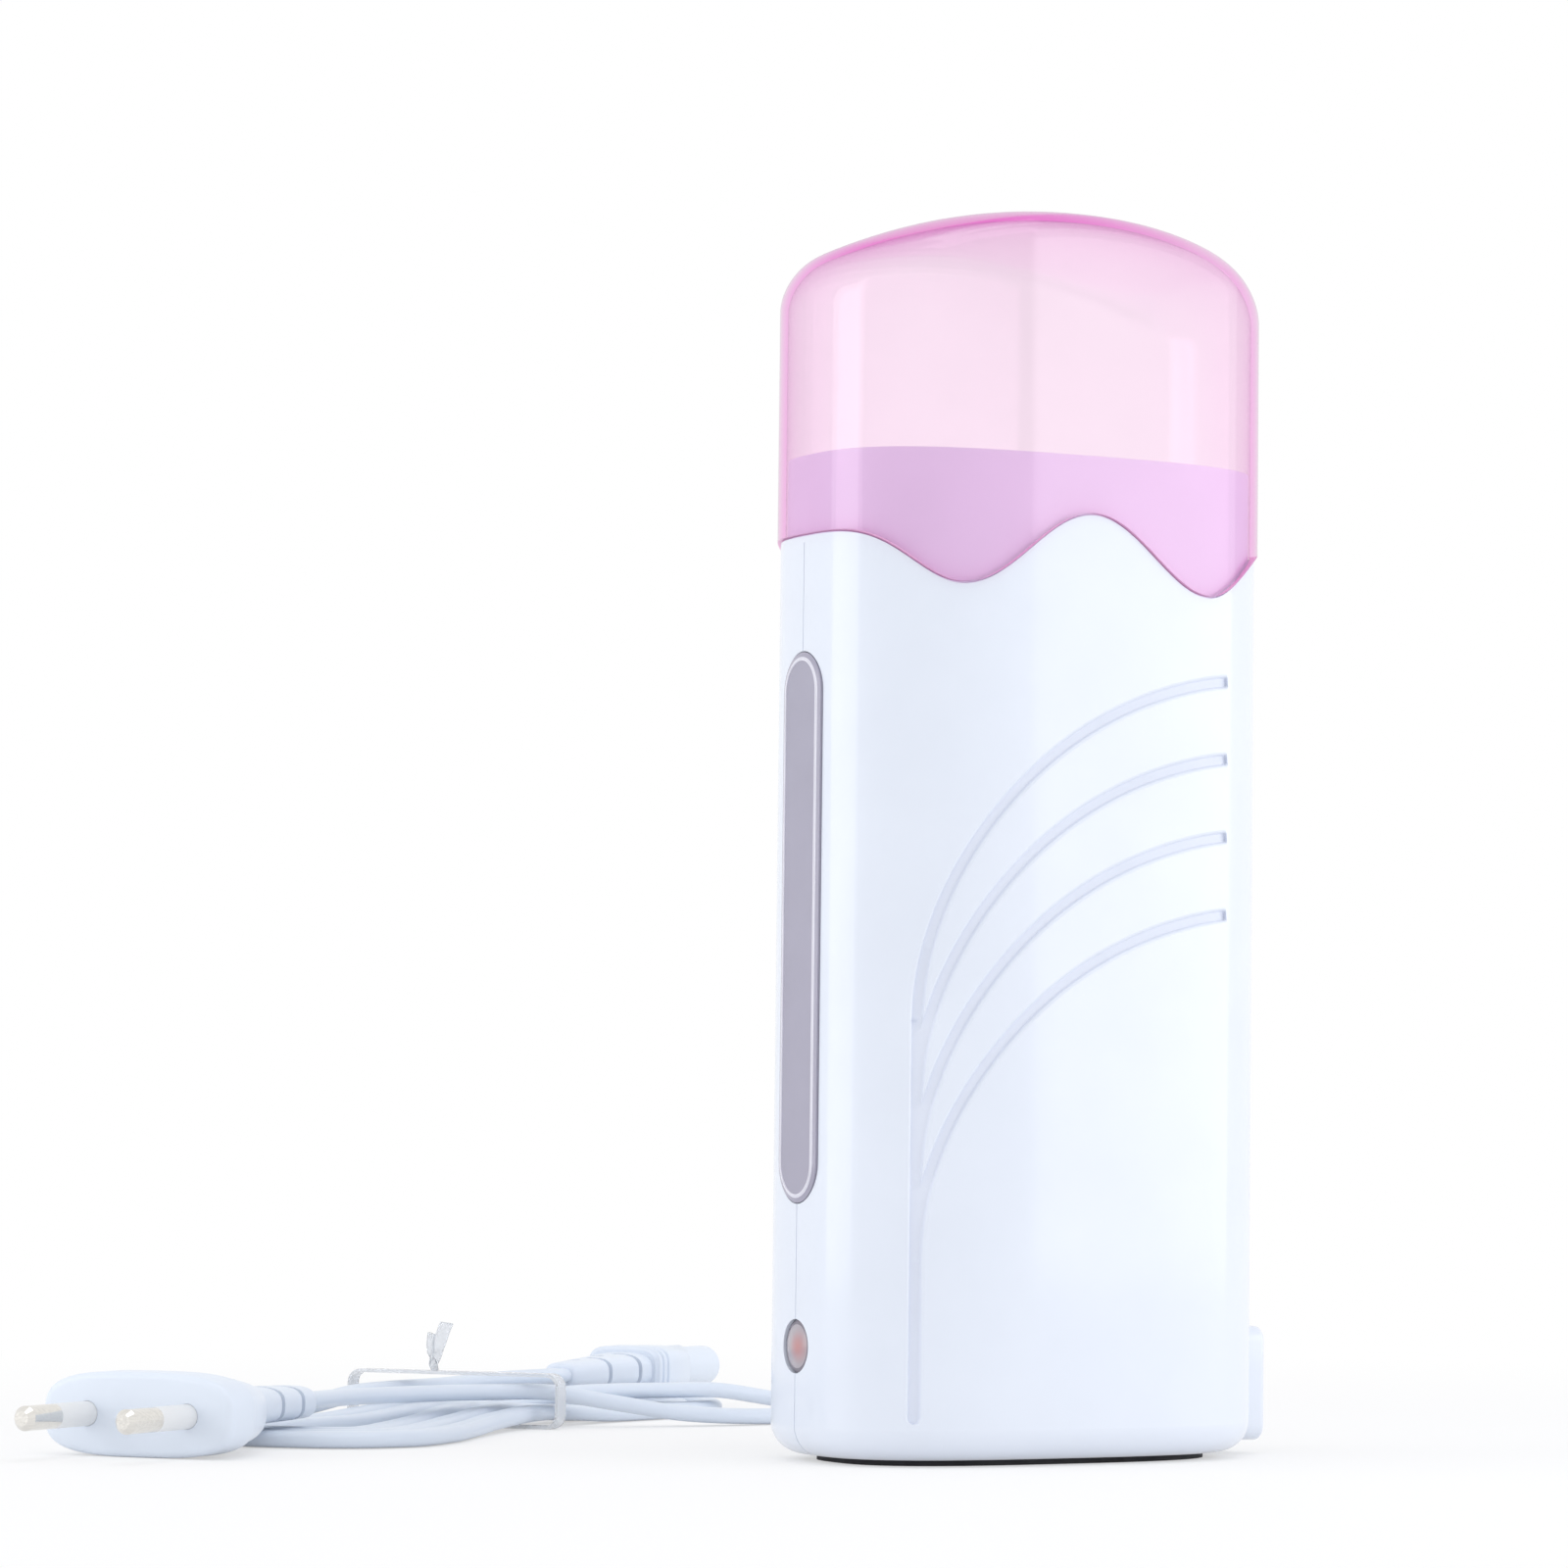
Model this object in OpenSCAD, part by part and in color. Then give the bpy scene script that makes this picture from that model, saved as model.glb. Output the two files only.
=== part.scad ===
// Roll-on wax heater: two moulded half shells round a heated cartridge well, a clear cap, and its lead.
// Millimetres. +Z is up, the front is -Y, the sight window is on -X and the power inlet on +X.
// The origin is the middle of the base pad's underside.

/* [Body] */
// Width of the body
body_w = 80; // [76:0.5:90]
// Depth of the body
body_d = 49; // [46:0.5:58]
// Height of the neck's top edge
neck_top = 163; // [158:0.5:170]
// Wall of the two half shells
shell_wall = 2.4; // [2.2:0.1:2.8]
// Power of the superellipse that the plan follows
plan_power = 2.9; // [2.6:0.1:3.6]
// Radius of the bottom edge
bottom_r = 5; // [3:0.5:7]
// Straight-sided steps round the plan
plan_steps = 60; // [48:12:72]

/* [Base pad] */
// Thickness of the rubber pad under the body
pad_t = 2; // [1.5:0.1:2.5]
// How far the pad stands below the shells
pad_proud = 1; // [0.6:0.1:1.2]
// Margin between the pad and the body's outline
pad_margin = 7; // [6:0.5:10]

/* [Cap] */
// Height of the cap's crown above the surface that the heater stands on
cap_top = 205; // [200:0.5:215]
// Wall of the cap
cap_wall = 1.2; // [1:0.1:1.5]
// Thickness of the cap's crown
crown_t = 1.5; // [1:0.1:2.5]
// How far the cap stands outside the body
cap_proud = 0.5; // [0.2:0.1:1]
// Clearance between the cap and the neck, and between the cap's edge and its seat
cap_gap = 0.3; // [0.25:0.05:0.5]
// Radius of the crown from side to side
crown_rx = 74; // [65:1:100]
// Radius of the crown from front to back
crown_ry = 98; // [80:1:200]
// Edge radius at the front and the back
crown_edge_front = 2.5; // [2:0.5:4]
// Edge radius at the two shoulders
crown_edge_side = 7; // [5:0.5:9]

/* [Wave] */
// Height of the wave's crest in the middle of the front
wave_crest = 153.2; // [150:0.1:155]
// Height of the wave's two troughs
wave_trough = 141.1; // [138:0.1:145]
// Distance of a trough from the middle
wave_trough_x = 23; // [20:0.5:26]
// Height of the wave at the narrow sides
wave_side = 149.6; // [146:0.1:153]

/* [Grooves] */
// Number of curved grooves
groove_count = 4; // [2:1:5]
// Width of a groove
groove_w = 1.7; // [1.2:0.1:2.4]
// Depth of a groove
groove_depth = 0.7; // [0.4:0.1:1]
// Distance of the groove stem from the middle, on the window side
stem_x = 29.1; // [26:0.1:31]
// Height of the stem's lower end
stem_bottom = 7; // [6.5:0.5:12]
// Distance of the groove tips from the middle, on the inlet side
tip_x = 27.7; // [22:0.1:30]
// Height of the highest groove tip
tip_top = 128; // [118:0.5:132]
// Step from one groove to the next
groove_step = 12.8; // [10:0.1:15]
// Height that each curve climbs
groove_rise = 57; // [45:0.5:60]
// Middle of the curves, on the inlet side
groove_mid_x = 35.5; // [32:0.5:40]

/* [Sight window] */
// Width of the sight window
window_w = 13; // [10:0.5:15]
// Length of the sight window
window_l = 89; // [70:0.5:95]
// Height of its middle
window_z = 86.2; // [82:0.1:88]
// How far the lens stands outside the shells
window_proud = 0.5; // [0.2:0.1:1]
// Width of the bevel round the lens
window_bevel = 1; // [0.5:0.1:1.5]
// Width of the lens's flange behind the wall
window_flange = 1.6; // [1.2:0.1:2]

/* [Indicator lamp] */
// Radius of the lamp's lens
lamp_lens_r = 4.2; // [3.5:0.1:4.8]
// Height of the lamp
lamp_z = 18.7; // [17:0.1:20]
// Rise of the lens's dome
lamp_dome = 0.9; // [0.5:0.1:1.5]
// How far the lens's rim is sunk in the wall
lamp_sink = 0.6; // [0.2:0.1:1]
// Radius of the bulb
bulb_r = 2.8; // [2:0.1:3]
// Length of the bulb
bulb_l = 9; // [7:0.5:10]
// Thickness of the lamp's board
board_t = 1.4; // [1:0.1:1.6]
// Width of the lamp's board
board_w = 16; // [12:0.5:20]
// Height of the lamp's board
board_h = 15; // [12:0.5:16]

/* [Power inlet] */
// Width of the inlet's block, front to back
inlet_w = 14; // [13:0.5:18]
// Height of the inlet's block
inlet_h = 19; // [18:0.5:22]
// Height of the inlet's middle
inlet_z = 11.8; // [11.4:0.1:13]
// How far the block stands outside the shells
inlet_proud = 4.7; // [3.5:0.1:6]
// Depth of the socket
socket_depth = 14; // [12:0.5:16]
// Radius of each pin
pin_r = 1.2; // [1:0.05:1.3]
// Distance between the two pins
pin_pitch = 8.6; // [8:0.1:9]
// Length of the pins inside the socket
pin_l = 9; // [7:0.5:11]

/* [Cartridge well] */
// Inside width of the well
well_w = 49; // [44:0.5:50]
// Inside depth of the well, front to back
well_d = 31; // [28:0.5:31.5]
// Wall of the well
well_wall = 1.2; // [1:0.1:1.4]
// Height of the well's floor
well_floor_z = 31; // [30:0.5:34]
// Radius of the well's corners
well_r = 8; // [6:0.5:12]
// Depth of the deck below the neck's edge
deck_drop = 6; // [4.5:0.5:7]
// Thickness of the deck
deck_t = 1.6; // [1.2:0.1:2]
// Width of the sight slot in the well
slot_w = 9; // [7:0.5:11]

/* [Heater] */
// Width of the aluminium heater plate
plate_w = 44; // [36:0.5:46]
// Height of the heater plate
plate_h = 84; // [70:0.5:88]
// Thickness of the heater plate
plate_t = 1.2; // [1:0.1:1.4]
// Height of the plate's lower edge
plate_z = 40; // [38:0.5:46]
// Width of the heating element
ptc_w = 24; // [18:0.5:24]
// Height of the heating element
ptc_h = 52; // [40:0.5:56]
// Thickness of the heating element
ptc_t = 2.2; // [1.8:0.1:2.4]
// Thickness of the clamp's spring strip
clamp_t = 0.4; // [0.3:0.05:0.5]
// Height of the clamp's strip
clamp_h = 8; // [6:0.5:12]
// Thickness of the insulation sheet
sheet_t = 0.3; // [0.2:0.05:0.35]
// Clearance between the insulation sheet and the rear shell
heater_gap = 1.3; // [0.8:0.1:2]

/* [Fasteners] */
// Radius of the case screws
screw_r = 1.5; // [1.25:0.05:1.6]
// Length of a screw's shank
screw_l = 17; // [14:0.5:20]
// Radius of a screw's head
screw_head_r = 2.7; // [2.4:0.1:2.9]
// Height of a screw's head
screw_head_h = 2; // [1.5:0.1:2.5]
// Clearance round a screw's head and shank
screw_gap = 0.3; // [0.2:0.05:0.4]
// Wall of a screw boss
boss_wall = 1.2; // [1:0.1:1.4]
// Distance of the two upper screws from the middle
screw_high_x = 31; // [30.6:0.1:32]
// Height of the two upper screws
screw_high_z = 137; // [136.5:0.5:139]
// Distance of the two lower screws from the middle
screw_low_x = 16; // [12:0.5:18]
// Height of the two lower screws
screw_low_z = 8.5; // [8:0.5:10]

/* [Cord set] */
// Width of the flat cord
cord_w = 5.2; // [4.6:0.1:5.3]
// Thickness of the flat cord
cord_t = 3; // [2.6:0.1:3.2]
// Turns in the hank
hank_turns = 2.5; // [1.5:1:2.5]
// Half length of the hank
hank_half_l = 74; // [70:1:76]
// Half width of the hank's outermost strand at the waist
hank_waist = 17.2; // [17:0.1:18]
// Swell of the loops on each side of the waist
hank_swell = 40; // [34:1:44]
// Step between strands of the hank
hank_step = 6.3; // [6.2:0.05:6.35]
// Width of the plug's flange
plug_w = 35.3; // [34:0.1:37]
// Thickness of the plug's flange
plug_t = 13.7; // [12.5:0.1:14]
// Length of the plug's pins
plug_pin_l = 19; // [18:0.1:19.5]
// Radius of the plug's pins
plug_pin_r = 2; // [1.9:0.05:2.1]
// Distance between the plug's pins at their base
plug_pitch = 18.6; // [17.5:0.1:19.2]
// Width of the connector
connector_w = 13.2; // [12.6:0.1:13.4]
// Thickness of the connector
connector_t = 7.4; // [7:0.1:7.6]
// Width of the tie's strip
tie_w = 3; // [2:0.1:4]
// Thickness of the tie's strip
tie_t = 0.8; // [0.6:0.1:1]

/* [Hidden] */
eps = 0.01;
fine = 48;
EDGE_STEPS = 5;
DOME_STEPS = 8;

white = [0.93, 0.95, 0.99];
cord_white = [0.86, 0.91, 0.97];
pink = [0.96, 0.72, 0.87, 0.5];
lens_grey = [0.72, 0.70, 0.76, 0.8];
steel = [0.75, 0.76, 0.78];

half_w = body_w / 2;
half_d = body_d / 2;
base_z = pad_proud;
floor_z = base_z + shell_wall;
far = body_w + cap_top;

cap_in = cap_wall - cap_proud;
neck_in = cap_in + cap_gap;

deck_top = neck_top - deck_drop;
ledge_in = 2;
ledge_h = 2.4;
deck_gap = 0.15;
well_half_d = well_d / 2 + well_wall;
well_half_w = well_w / 2 + well_wall;
heater_stack = plate_t + ptc_t + clamp_t + sheet_t;
// The well stands so that the heater on its back keeps clear of the rear shell
well_y = half_d - shell_wall - heater_gap - heater_stack - well_half_d;

// ---- The plan, and the solids that follow it ----

// Signed power, so that one formula serves all four quarters
function spow(v, p) = sign(v) * pow(abs(v), p);

// One point of the plan at angle a, drawn in by inset
function plan_point(a, inset) = [(half_w - inset) * spow(cos(a), 2 / plan_power),
                                 (half_d - inset) * spow(sin(a), 2 / plan_power)];

function plan(inset) = [for (i = [0:plan_steps - 1]) plan_point(360 * i / plan_steps, inset)];

module prism(inset, low, high) {
    translate([0, 0, low]) linear_extrude(high - low) polygon(plan(inset));
}

// A closed skin through rings of equal length, listed from the bottom up
module loft(rings) {
    n = len(rings[0]);
    m = len(rings);
    sides = [for (r = [0:m - 2], i = [0:n - 1]) each
        [[r * n + i, (r + 1) * n + (i + 1) % n, r * n + (i + 1) % n],
         [r * n + i, (r + 1) * n + i, (r + 1) * n + (i + 1) % n]]];
    bottom = [[for (i = [0:n - 1]) i]];
    top = [[for (i = [n - 1:-1:0]) (m - 1) * n + i]];
    polyhedron([for (ring = rings) each ring], concat(bottom, sides, top));
}

function lifted(points, z) = [for (p = points) [p[0], p[1], z]];

// The body's block with its rounded bottom edge, drawn in by inset on every side
module body_block(inset, high) {
    r = bottom_r - inset / 2;
    loft(concat([for (k = [0:EDGE_STEPS])
        let (a = 90 * k / EDGE_STEPS)
            lifted(plan(inset + r * (1 - sin(a))), base_z + inset + r * (1 - cos(a)))],
        [lifted(plan(inset), high)]));
}

// ---- The wave ----

function wave(x) = let (d = min(abs(x), half_w))
    d < wave_trough_x
        ? wave_trough + (wave_crest - wave_trough) * (1 + cos(180 * d / wave_trough_x)) / 2
        : wave_trough + (wave_side - wave_trough)
            * (1 - cos(180 * (d - wave_trough_x) / (half_w - wave_trough_x))) / 2;

// Everything above the wave, or below it, from front to back
module beyond_wave(shift, limit) {
    reach = half_w + 2;
    line = [for (x = [-reach:2:reach]) [x, wave(x) + shift]];
    rotate([90, 0, 0]) linear_extrude(far, center = true)
        polygon(concat([[-reach, limit]], line, [[reach, limit]]));
}

// ---- Window, lamp and inlet openings, which the seam runs through ----

module stadium(w, l) {
    translate([0, -(l - w) / 2]) circle(d = w, $fn = fine);
    translate([0, (l - w) / 2]) circle(d = w, $fn = fine);
    square([w, l - w], center = true);
}

// Stands a flat outline up on the -X side: its X becomes Y, its Y becomes Z
module on_window_side(x, t) {
    translate([x, 0, 0]) rotate([90, 0, 90]) linear_extrude(t) children();
}

module window_hole() {
    on_window_side(-half_w - 2, shell_wall + 4)
        translate([0, window_z]) stadium(window_w + 2 * deck_gap, window_l + 2 * deck_gap);
}

module lamp_hole() {
    translate([-half_w - 2, 0, lamp_z]) rotate([0, 90, 0])
        cylinder(r = lamp_lens_r + deck_gap, h = shell_wall + 4, $fn = fine);
}

inlet_neck_w = inlet_w - 3;
inlet_neck_h = inlet_h - 3;

module rounded_bar(x, l, w, h, r) {
    on_window_side(x, l) translate([0, inlet_z]) {
        square([w - 2 * r, h], center = true);
        square([w, h - 2 * r], center = true);
        for (sy = [-1, 1], sz = [-1, 1])
            translate([sy * (w / 2 - r), sz * (h / 2 - r)]) circle(r, $fn = fine);
    }
}

module inlet_hole() {
    rounded_bar(half_w - shell_wall - 5, shell_wall + 7,
                inlet_neck_w + 2 * deck_gap, inlet_neck_h + 2 * deck_gap, 1.5);
}

// ---- Screws and their bosses ----

screw_places = [[-screw_high_x, screw_high_z], [screw_high_x, screw_high_z],
                [-screw_low_x, screw_low_z], [screw_low_x, screw_low_z]];
screw_seat_y = 11;
boss_r = screw_head_r + screw_gap + boss_wall;
pilot_gap = 0.05;

// A cylinder along +Y from depth y0 to depth y1
module along_y(r, y0, y1) {
    translate([0, y0, 0]) rotate([-90, 0, 0]) cylinder(r = r, h = y1 - y0, $fn = fine);
}

module at_screws() {
    for (p = screw_places) translate([p[0], 0, p[1]]) children();
}

// ---- The two half shells ----

// Ribs that stand on the floor and carry the lamp's board
board_x = -24.5;
board_low = lamp_z - board_h / 2;
rib_t = 1.6;

module board_posts() {
    for (s = [-1, 1])
        translate([board_x - rib_t, s * board_w / 2 - 1.5, floor_z - 0.5])
            difference() {
                cube([board_t + 2 * rib_t, 3, board_h + board_low - floor_z - 3]);
                translate([rib_t - deck_gap, -eps, board_low - floor_z + 0.5 - deck_gap])
                    cube([board_t + 2 * deck_gap, 3 + 2 * eps, board_h + eps]);
            }
}

// The full shell before it is parted at the seam
module shell_solid() {
    difference() {
        body_block(0, neck_top);
        difference() {
            beyond_wave(0, far);
            prism(neck_in, wave_trough - 1, neck_top + 1);
        }
        difference() {
            body_block(shell_wall, neck_top + 1);
            at_screws() along_y(boss_r, -half_d, half_d);
            difference() {
                prism(shell_wall - eps, deck_top - deck_t - ledge_h, deck_top - deck_t);
                prism(shell_wall + ledge_in, 0, far);
            }
            board_posts();
            well_cradle();
        }
        prism(pad_margin - deck_gap, -1, pad_t);
        window_hole();
        lamp_hole();
        inlet_hole();
    }
}

// Two cross walls that carry the well's floor
cradle_t = 1.6;
cradle_x = 22;

module cradle_wall(x) {
    top = well_floor_z - well_wall;
    translate([x - cradle_t / 2, -half_d, top - 4]) cube([cradle_t, half_d * 2, 4]);
}

module well_cradle() {
    intersection() {
        for (s = [-1, 1]) cradle_wall(s * cradle_x);
        prism(shell_wall - eps, 0, neck_top);
    }
}

function groove_height(i) = tip_top - i * groove_step - groove_rise;

// One curved groove: a quarter of an ellipse from its tip down to the stem
module groove_curve(i) {
    a = groove_mid_x + stem_x;
    z0 = groove_height(i);
    start = acos((tip_x - groove_mid_x) / a);
    steps = 14;
    function at(k, side) = let (t = start + (180 - start) * k / steps)
        [groove_mid_x + (a + side * groove_w / 2) * cos(t),
         z0 + (groove_rise + side * groove_w / 2) * sin(t)];
    polygon(concat([for (k = [0:steps]) at(k, 1)], [for (k = [steps:-1:0]) at(k, -1)]));
}

module groove_pattern() {
    for (i = [0:groove_count - 1]) groove_curve(i);
    translate([-stem_x - groove_w / 2, stem_bottom])
        square([groove_w, groove_height(0) - stem_bottom]);
}

module grooves() {
    difference() {
        rotate([90, 0, 0]) linear_extrude(half_d + 1) groove_pattern();
        prism(groove_depth, -1, far);
    }
}

module front_shell() {
    color(white) difference() {
        shell_solid();
        translate([-far / 2, 0, -1]) cube([far, far, far]);
        grooves();
        at_screws() along_y(screw_r + pilot_gap, screw_seat_y - screw_l - 1, 1);
    }
}

module rear_shell() {
    color(white) difference() {
        shell_solid();
        translate([-far / 2, -far, -1]) cube([far, far, far]);
        at_screws() {
            along_y(screw_r + screw_gap, -1, half_d + 1);
            along_y(screw_head_r + screw_gap, screw_seat_y, half_d + 1);
        }
    }
}

module base_pad() {
    color("dimgray") prism(pad_margin, 0, pad_t);
}

// ---- The cap ----

function crown(x, y, top) = top - x * x / (2 * crown_rx) - y * y / (2 * crown_ry);

// Edge radius at a point of the plan: small at the front, large at the shoulders
function crown_edge(x) = crown_edge_front
    + (crown_edge_side - crown_edge_front) * pow(abs(x) / half_w, 4);

function crown_ring(inset, top, a) = [for (p = plan(inset))
    let (e = crown_edge(p[0]), k = 1 - e * (1 - cos(a)) / norm(p), x = p[0] * k, y = p[1] * k)
        [x, y, crown(x, y, top) - e * (1 - sin(a))]];

function crown_inner_ring(inset, top, k) = [for (p = crown_ring(inset, top, 90))
    [p[0] * k, p[1] * k, crown(p[0] * k, p[1] * k, top)]];

module cap_block(inset, top, low) {
    loft(concat([lifted(plan(inset), low)],
        [for (k = [0:EDGE_STEPS]) crown_ring(inset, top, 90 * k / EDGE_STEPS)],
        [for (k = [0.75, 0.5, 0.25, 0.02]) crown_inner_ring(inset, top, k)]));
}

module cap() {
    color(pink) difference() {
        cap_block(-cap_proud, cap_top, wave_trough - 2);
        cap_block(cap_in, cap_top - crown_t, wave_trough - 4);
        beyond_wave(cap_gap, 0);
    }
}

// ---- The cartridge well ----

module rounded_rect(w, d, r) {
    square([w - 2 * r, d], center = true);
    square([w, d - 2 * r], center = true);
    for (sx = [-1, 1], sy = [-1, 1])
        translate([sx * (w / 2 - r), sy * (d / 2 - r)]) circle(r, $fn = fine);
}

module cartridge_well() {
    well_bottom = well_floor_z - well_wall;
    color("whitesmoke") difference() {
        union() {
            translate([0, well_y, well_bottom]) linear_extrude(deck_top - well_bottom)
                rounded_rect(2 * well_half_w, 2 * well_half_d, well_r + well_wall);
            prism(shell_wall + deck_gap, deck_top - deck_t, deck_top);
        }
        translate([0, well_y, well_floor_z]) linear_extrude(far) rounded_rect(well_w, well_d, well_r);
        translate([0, 0, window_z]) rotate([90, 0, 90]) translate([0, 0, -half_w])
            linear_extrude(half_w) stadium(slot_w, window_l - 2 * window_flange);
    }
}

// ---- The sight window ----

// Thickness of the lens flanges that bear on the inside of the wall
flange_t = 1.5;

module window_lens() {
    back = -half_w + shell_wall;
    color(lens_grey) translate([0, 0, window_z]) {
        on_window_side(-half_w, shell_wall + flange_t) stadium(window_w, window_l);
        hull() {
            on_window_side(-half_w, eps) stadium(window_w, window_l);
            on_window_side(-half_w - window_proud, eps)
                stadium(window_w - 2 * window_bevel, window_l - 2 * window_bevel);
        }
    }
    color(lens_grey) intersection() {
        on_window_side(back - 1, flange_t + 1) translate([0, window_z])
            stadium(window_w + 2 * window_flange, window_l + 2 * window_flange);
        prism(shell_wall, window_z - window_l, window_z + window_l);
    }
}

// ---- The indicator lamp ----

module lamp_lens() {
    sphere_r = (lamp_lens_r * lamp_lens_r + lamp_dome * lamp_dome) / (2 * lamp_dome);
    front = -half_w + lamp_sink - lamp_dome;
    barrel_end = shell_wall + flange_t + 0.5 - half_w - front;
    dome = [for (k = [0:DOME_STEPS]) let (r = lamp_lens_r * k / DOME_STEPS)
        [r, sphere_r - sqrt(sphere_r * sphere_r - r * r)]];
    color(lens_grey) {
        translate([front, 0, lamp_z]) rotate([0, 90, 0]) rotate_extrude($fn = fine)
            polygon(concat(dome, [[lamp_lens_r, barrel_end], [0, barrel_end]]));
        intersection() {
            translate([-half_w, 0, lamp_z]) rotate([0, 90, 0])
                cylinder(r = lamp_lens_r + 1, h = shell_wall + flange_t, $fn = fine);
            prism(shell_wall, lamp_z - 2 * lamp_lens_r, lamp_z + 2 * lamp_lens_r);
        }
    }
}

module indicator_bulb() {
    tip = board_x - bulb_l;
    color([0.95, 0.45, 0.35]) translate([0, 0, lamp_z]) {
        translate([tip + bulb_r, 0, 0]) rotate([0, 90, 0])
            cylinder(r = bulb_r, h = bulb_l - bulb_r, $fn = fine);
        translate([tip + bulb_r, 0, 0]) sphere(bulb_r, $fn = fine);
    }
}

module lamp_board() {
    color("seagreen") translate([board_x, -board_w / 2, board_low]) cube([board_t, board_w, board_h]);
}

module lamp_resistor() {
    r = 1.2;
    l = 6.5;
    lead_r = 0.35;
    lead_l = 1.2;
    stand = r + 0.4;
    color("tan") translate([board_x + board_t + stand, 0, lamp_z + 2]) {
        along_y(r, -l / 2, l / 2);
        along_y(lead_r, -l / 2 - lead_l, l / 2 + lead_l);
        for (s = [-1, 1])
            translate([-stand, s * (l / 2 + lead_l - lead_r), 0]) rotate([0, 90, 0])
                cylinder(r = lead_r, h = stand + lead_r, $fn = 16);
    }
}

// ---- The power inlet ----

inlet_face = half_w + inlet_proud;
inlet_back = inlet_face - socket_depth - 2.5;
socket_w = connector_t + 1;
socket_h = connector_w + 1;

// The figure-eight outline of the socket and the connector
module figure_eight(w, h) {
    for (s = [-1, 1]) translate([0, s * (h - w) / 2]) circle(d = w, $fn = fine);
    square([w * 0.8, h - w], center = true);
}

module inlet_housing() {
    edge = 2.5;
    seat = half_w - bottom_r / 2;
    color(white) difference() {
        union() {
            difference() {
                union() {
                    rounded_bar(seat, inlet_face - seat - 1, inlet_w, inlet_h, edge);
                    rounded_bar(seat, inlet_face - seat, inlet_w - 2, inlet_h - 2, edge - 1);
                }
                body_block(0, inlet_z + inlet_h);
            }
            rounded_bar(inlet_back, half_w - inlet_back + 1, inlet_neck_w, inlet_neck_h, 1.4);
        }
        on_window_side(inlet_face - socket_depth, socket_depth + 1)
            translate([0, inlet_z]) figure_eight(socket_w, socket_h);
        for (s = [-1, 1]) translate([inlet_back - 1, 0, inlet_z + s * pin_pitch / 2])
            rotate([0, 90, 0]) cylinder(r = pin_r, h = 6, $fn = fine);
    }
}

pin_tail = 2.5;

module inlet_pins() {
    start = inlet_back - pin_tail;
    color(steel) for (s = [-1, 1]) translate([start, 0, inlet_z + s * pin_pitch / 2])
        rotate([0, 90, 0]) cylinder(r = pin_r, h = inlet_face - socket_depth + pin_l - start, $fn = fine);
}

// ---- The heater on the well's rear wall ----

plate_y = well_y + well_half_d;
ptc_y = plate_y + plate_t;
ptc_z = plate_z + (plate_h - ptc_h) / 2;
clamp_y = ptc_y + ptc_t;
sheet_y = clamp_y + clamp_t;
clamp_foot = 5;
rivet_r = 1;

module heater_plate() {
    color("silver") difference() {
        translate([-plate_w / 2, plate_y, plate_z]) cube([plate_w, plate_t, plate_h]);
        at_rivets() along_y(rivet_r, plate_y - 1, ptc_y + 1);
    }
}

module ptc_element() {
    color("goldenrod") translate([-ptc_w / 2, ptc_y, ptc_z]) cube([ptc_w, ptc_t, ptc_h]);
}

module at_rivets() {
    for (s = [-1, 1], z = clamp_heights)
        translate([s * (ptc_w / 2 + clamp_foot / 2 + clamp_t), 0, z]) children();
}

clamp_heights = [ptc_z + ptc_h / 4, ptc_z + ptc_h * 3 / 4];

// Two spring strips, each bridging the element with a foot on either side
module ptc_clamp() {
    w = ptc_w / 2;
    out = w + clamp_foot + clamp_t;
    t = clamp_t;
    profile = [[-out, ptc_y], [-w, ptc_y], [-w, clamp_y], [w, clamp_y], [w, ptc_y], [out, ptc_y],
               [out, ptc_y + t], [w + t, ptc_y + t], [w + t, clamp_y + t], [-w - t, clamp_y + t],
               [-w - t, ptc_y + t], [-out, ptc_y + t]];
    color(steel) difference() {
        for (z = clamp_heights) translate([0, 0, z - clamp_h / 2])
            linear_extrude(clamp_h) polygon(profile);
        at_rivets() along_y(rivet_r, ptc_y - 1, ptc_y + t + 1);
    }
}

module clamp_rivets() {
    color("lightgray") at_rivets() {
        along_y(rivet_r, plate_y, ptc_y + clamp_t);
        along_y(rivet_r * 1.6, ptc_y + clamp_t, ptc_y + clamp_t + 0.7);
    }
}

module insulation_sheet() {
    w = ptc_w - 6;
    color("khaki") translate([-w / 2, sheet_y, ptc_z - 2]) cube([w, sheet_t, ptc_h + 4]);
}

thermostat_w = 6;
thermostat_t = 2;
thermostat_h = 15;
thermostat_gap = 3;
thermostat_z = ptc_z + ptc_h + thermostat_gap;

module thermostat() {
    color("black") translate([-thermostat_w / 2, ptc_y, thermostat_z])
        cube([thermostat_w, thermostat_t, thermostat_h]);
}

// ---- Wires and the cord: tubes swept along chosen points ----

function unit(v) = v / norm(v);

// Direction of travel at point i
function heading(p, i) = unit(p[min(i + 1, len(p) - 1)] - p[max(i - 1, 0)]);

// One ring of a tube, square to its direction and turned to face level: its flats make it t thick, and
// it is w wide over its flats, or over its corners where n isn't a multiple of four
function tube_ring(c, d, w, t, n, level) =
    let (side = unit(cross(d, level)), up = cross(side, d), turn = n % 4 == 0 ? 180 / n : 0,
         rw = w / 2 / cos(turn), rt = t / 2 / cos(180 / n))
        [for (k = [0:n - 1]) let (a = 360 * k / n + turn) c + side * cos(a) * rw - up * sin(a) * rt];

module tube(p, w, t, n, level = [0, 0, 1]) {
    loft([for (i = [0:len(p) - 1]) tube_ring(p[i], heading(p, i), w, t, n, level)]);
}

function path_length(p) = len(p) < 2 ? 0
    : [for (i = 1, s = norm(p[1] - p[0]); i < len(p); i = i + 1,
            s = s + (i < len(p) ? norm(p[i] - p[i - 1]) : 0)) s][len(p) - 2];

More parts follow.
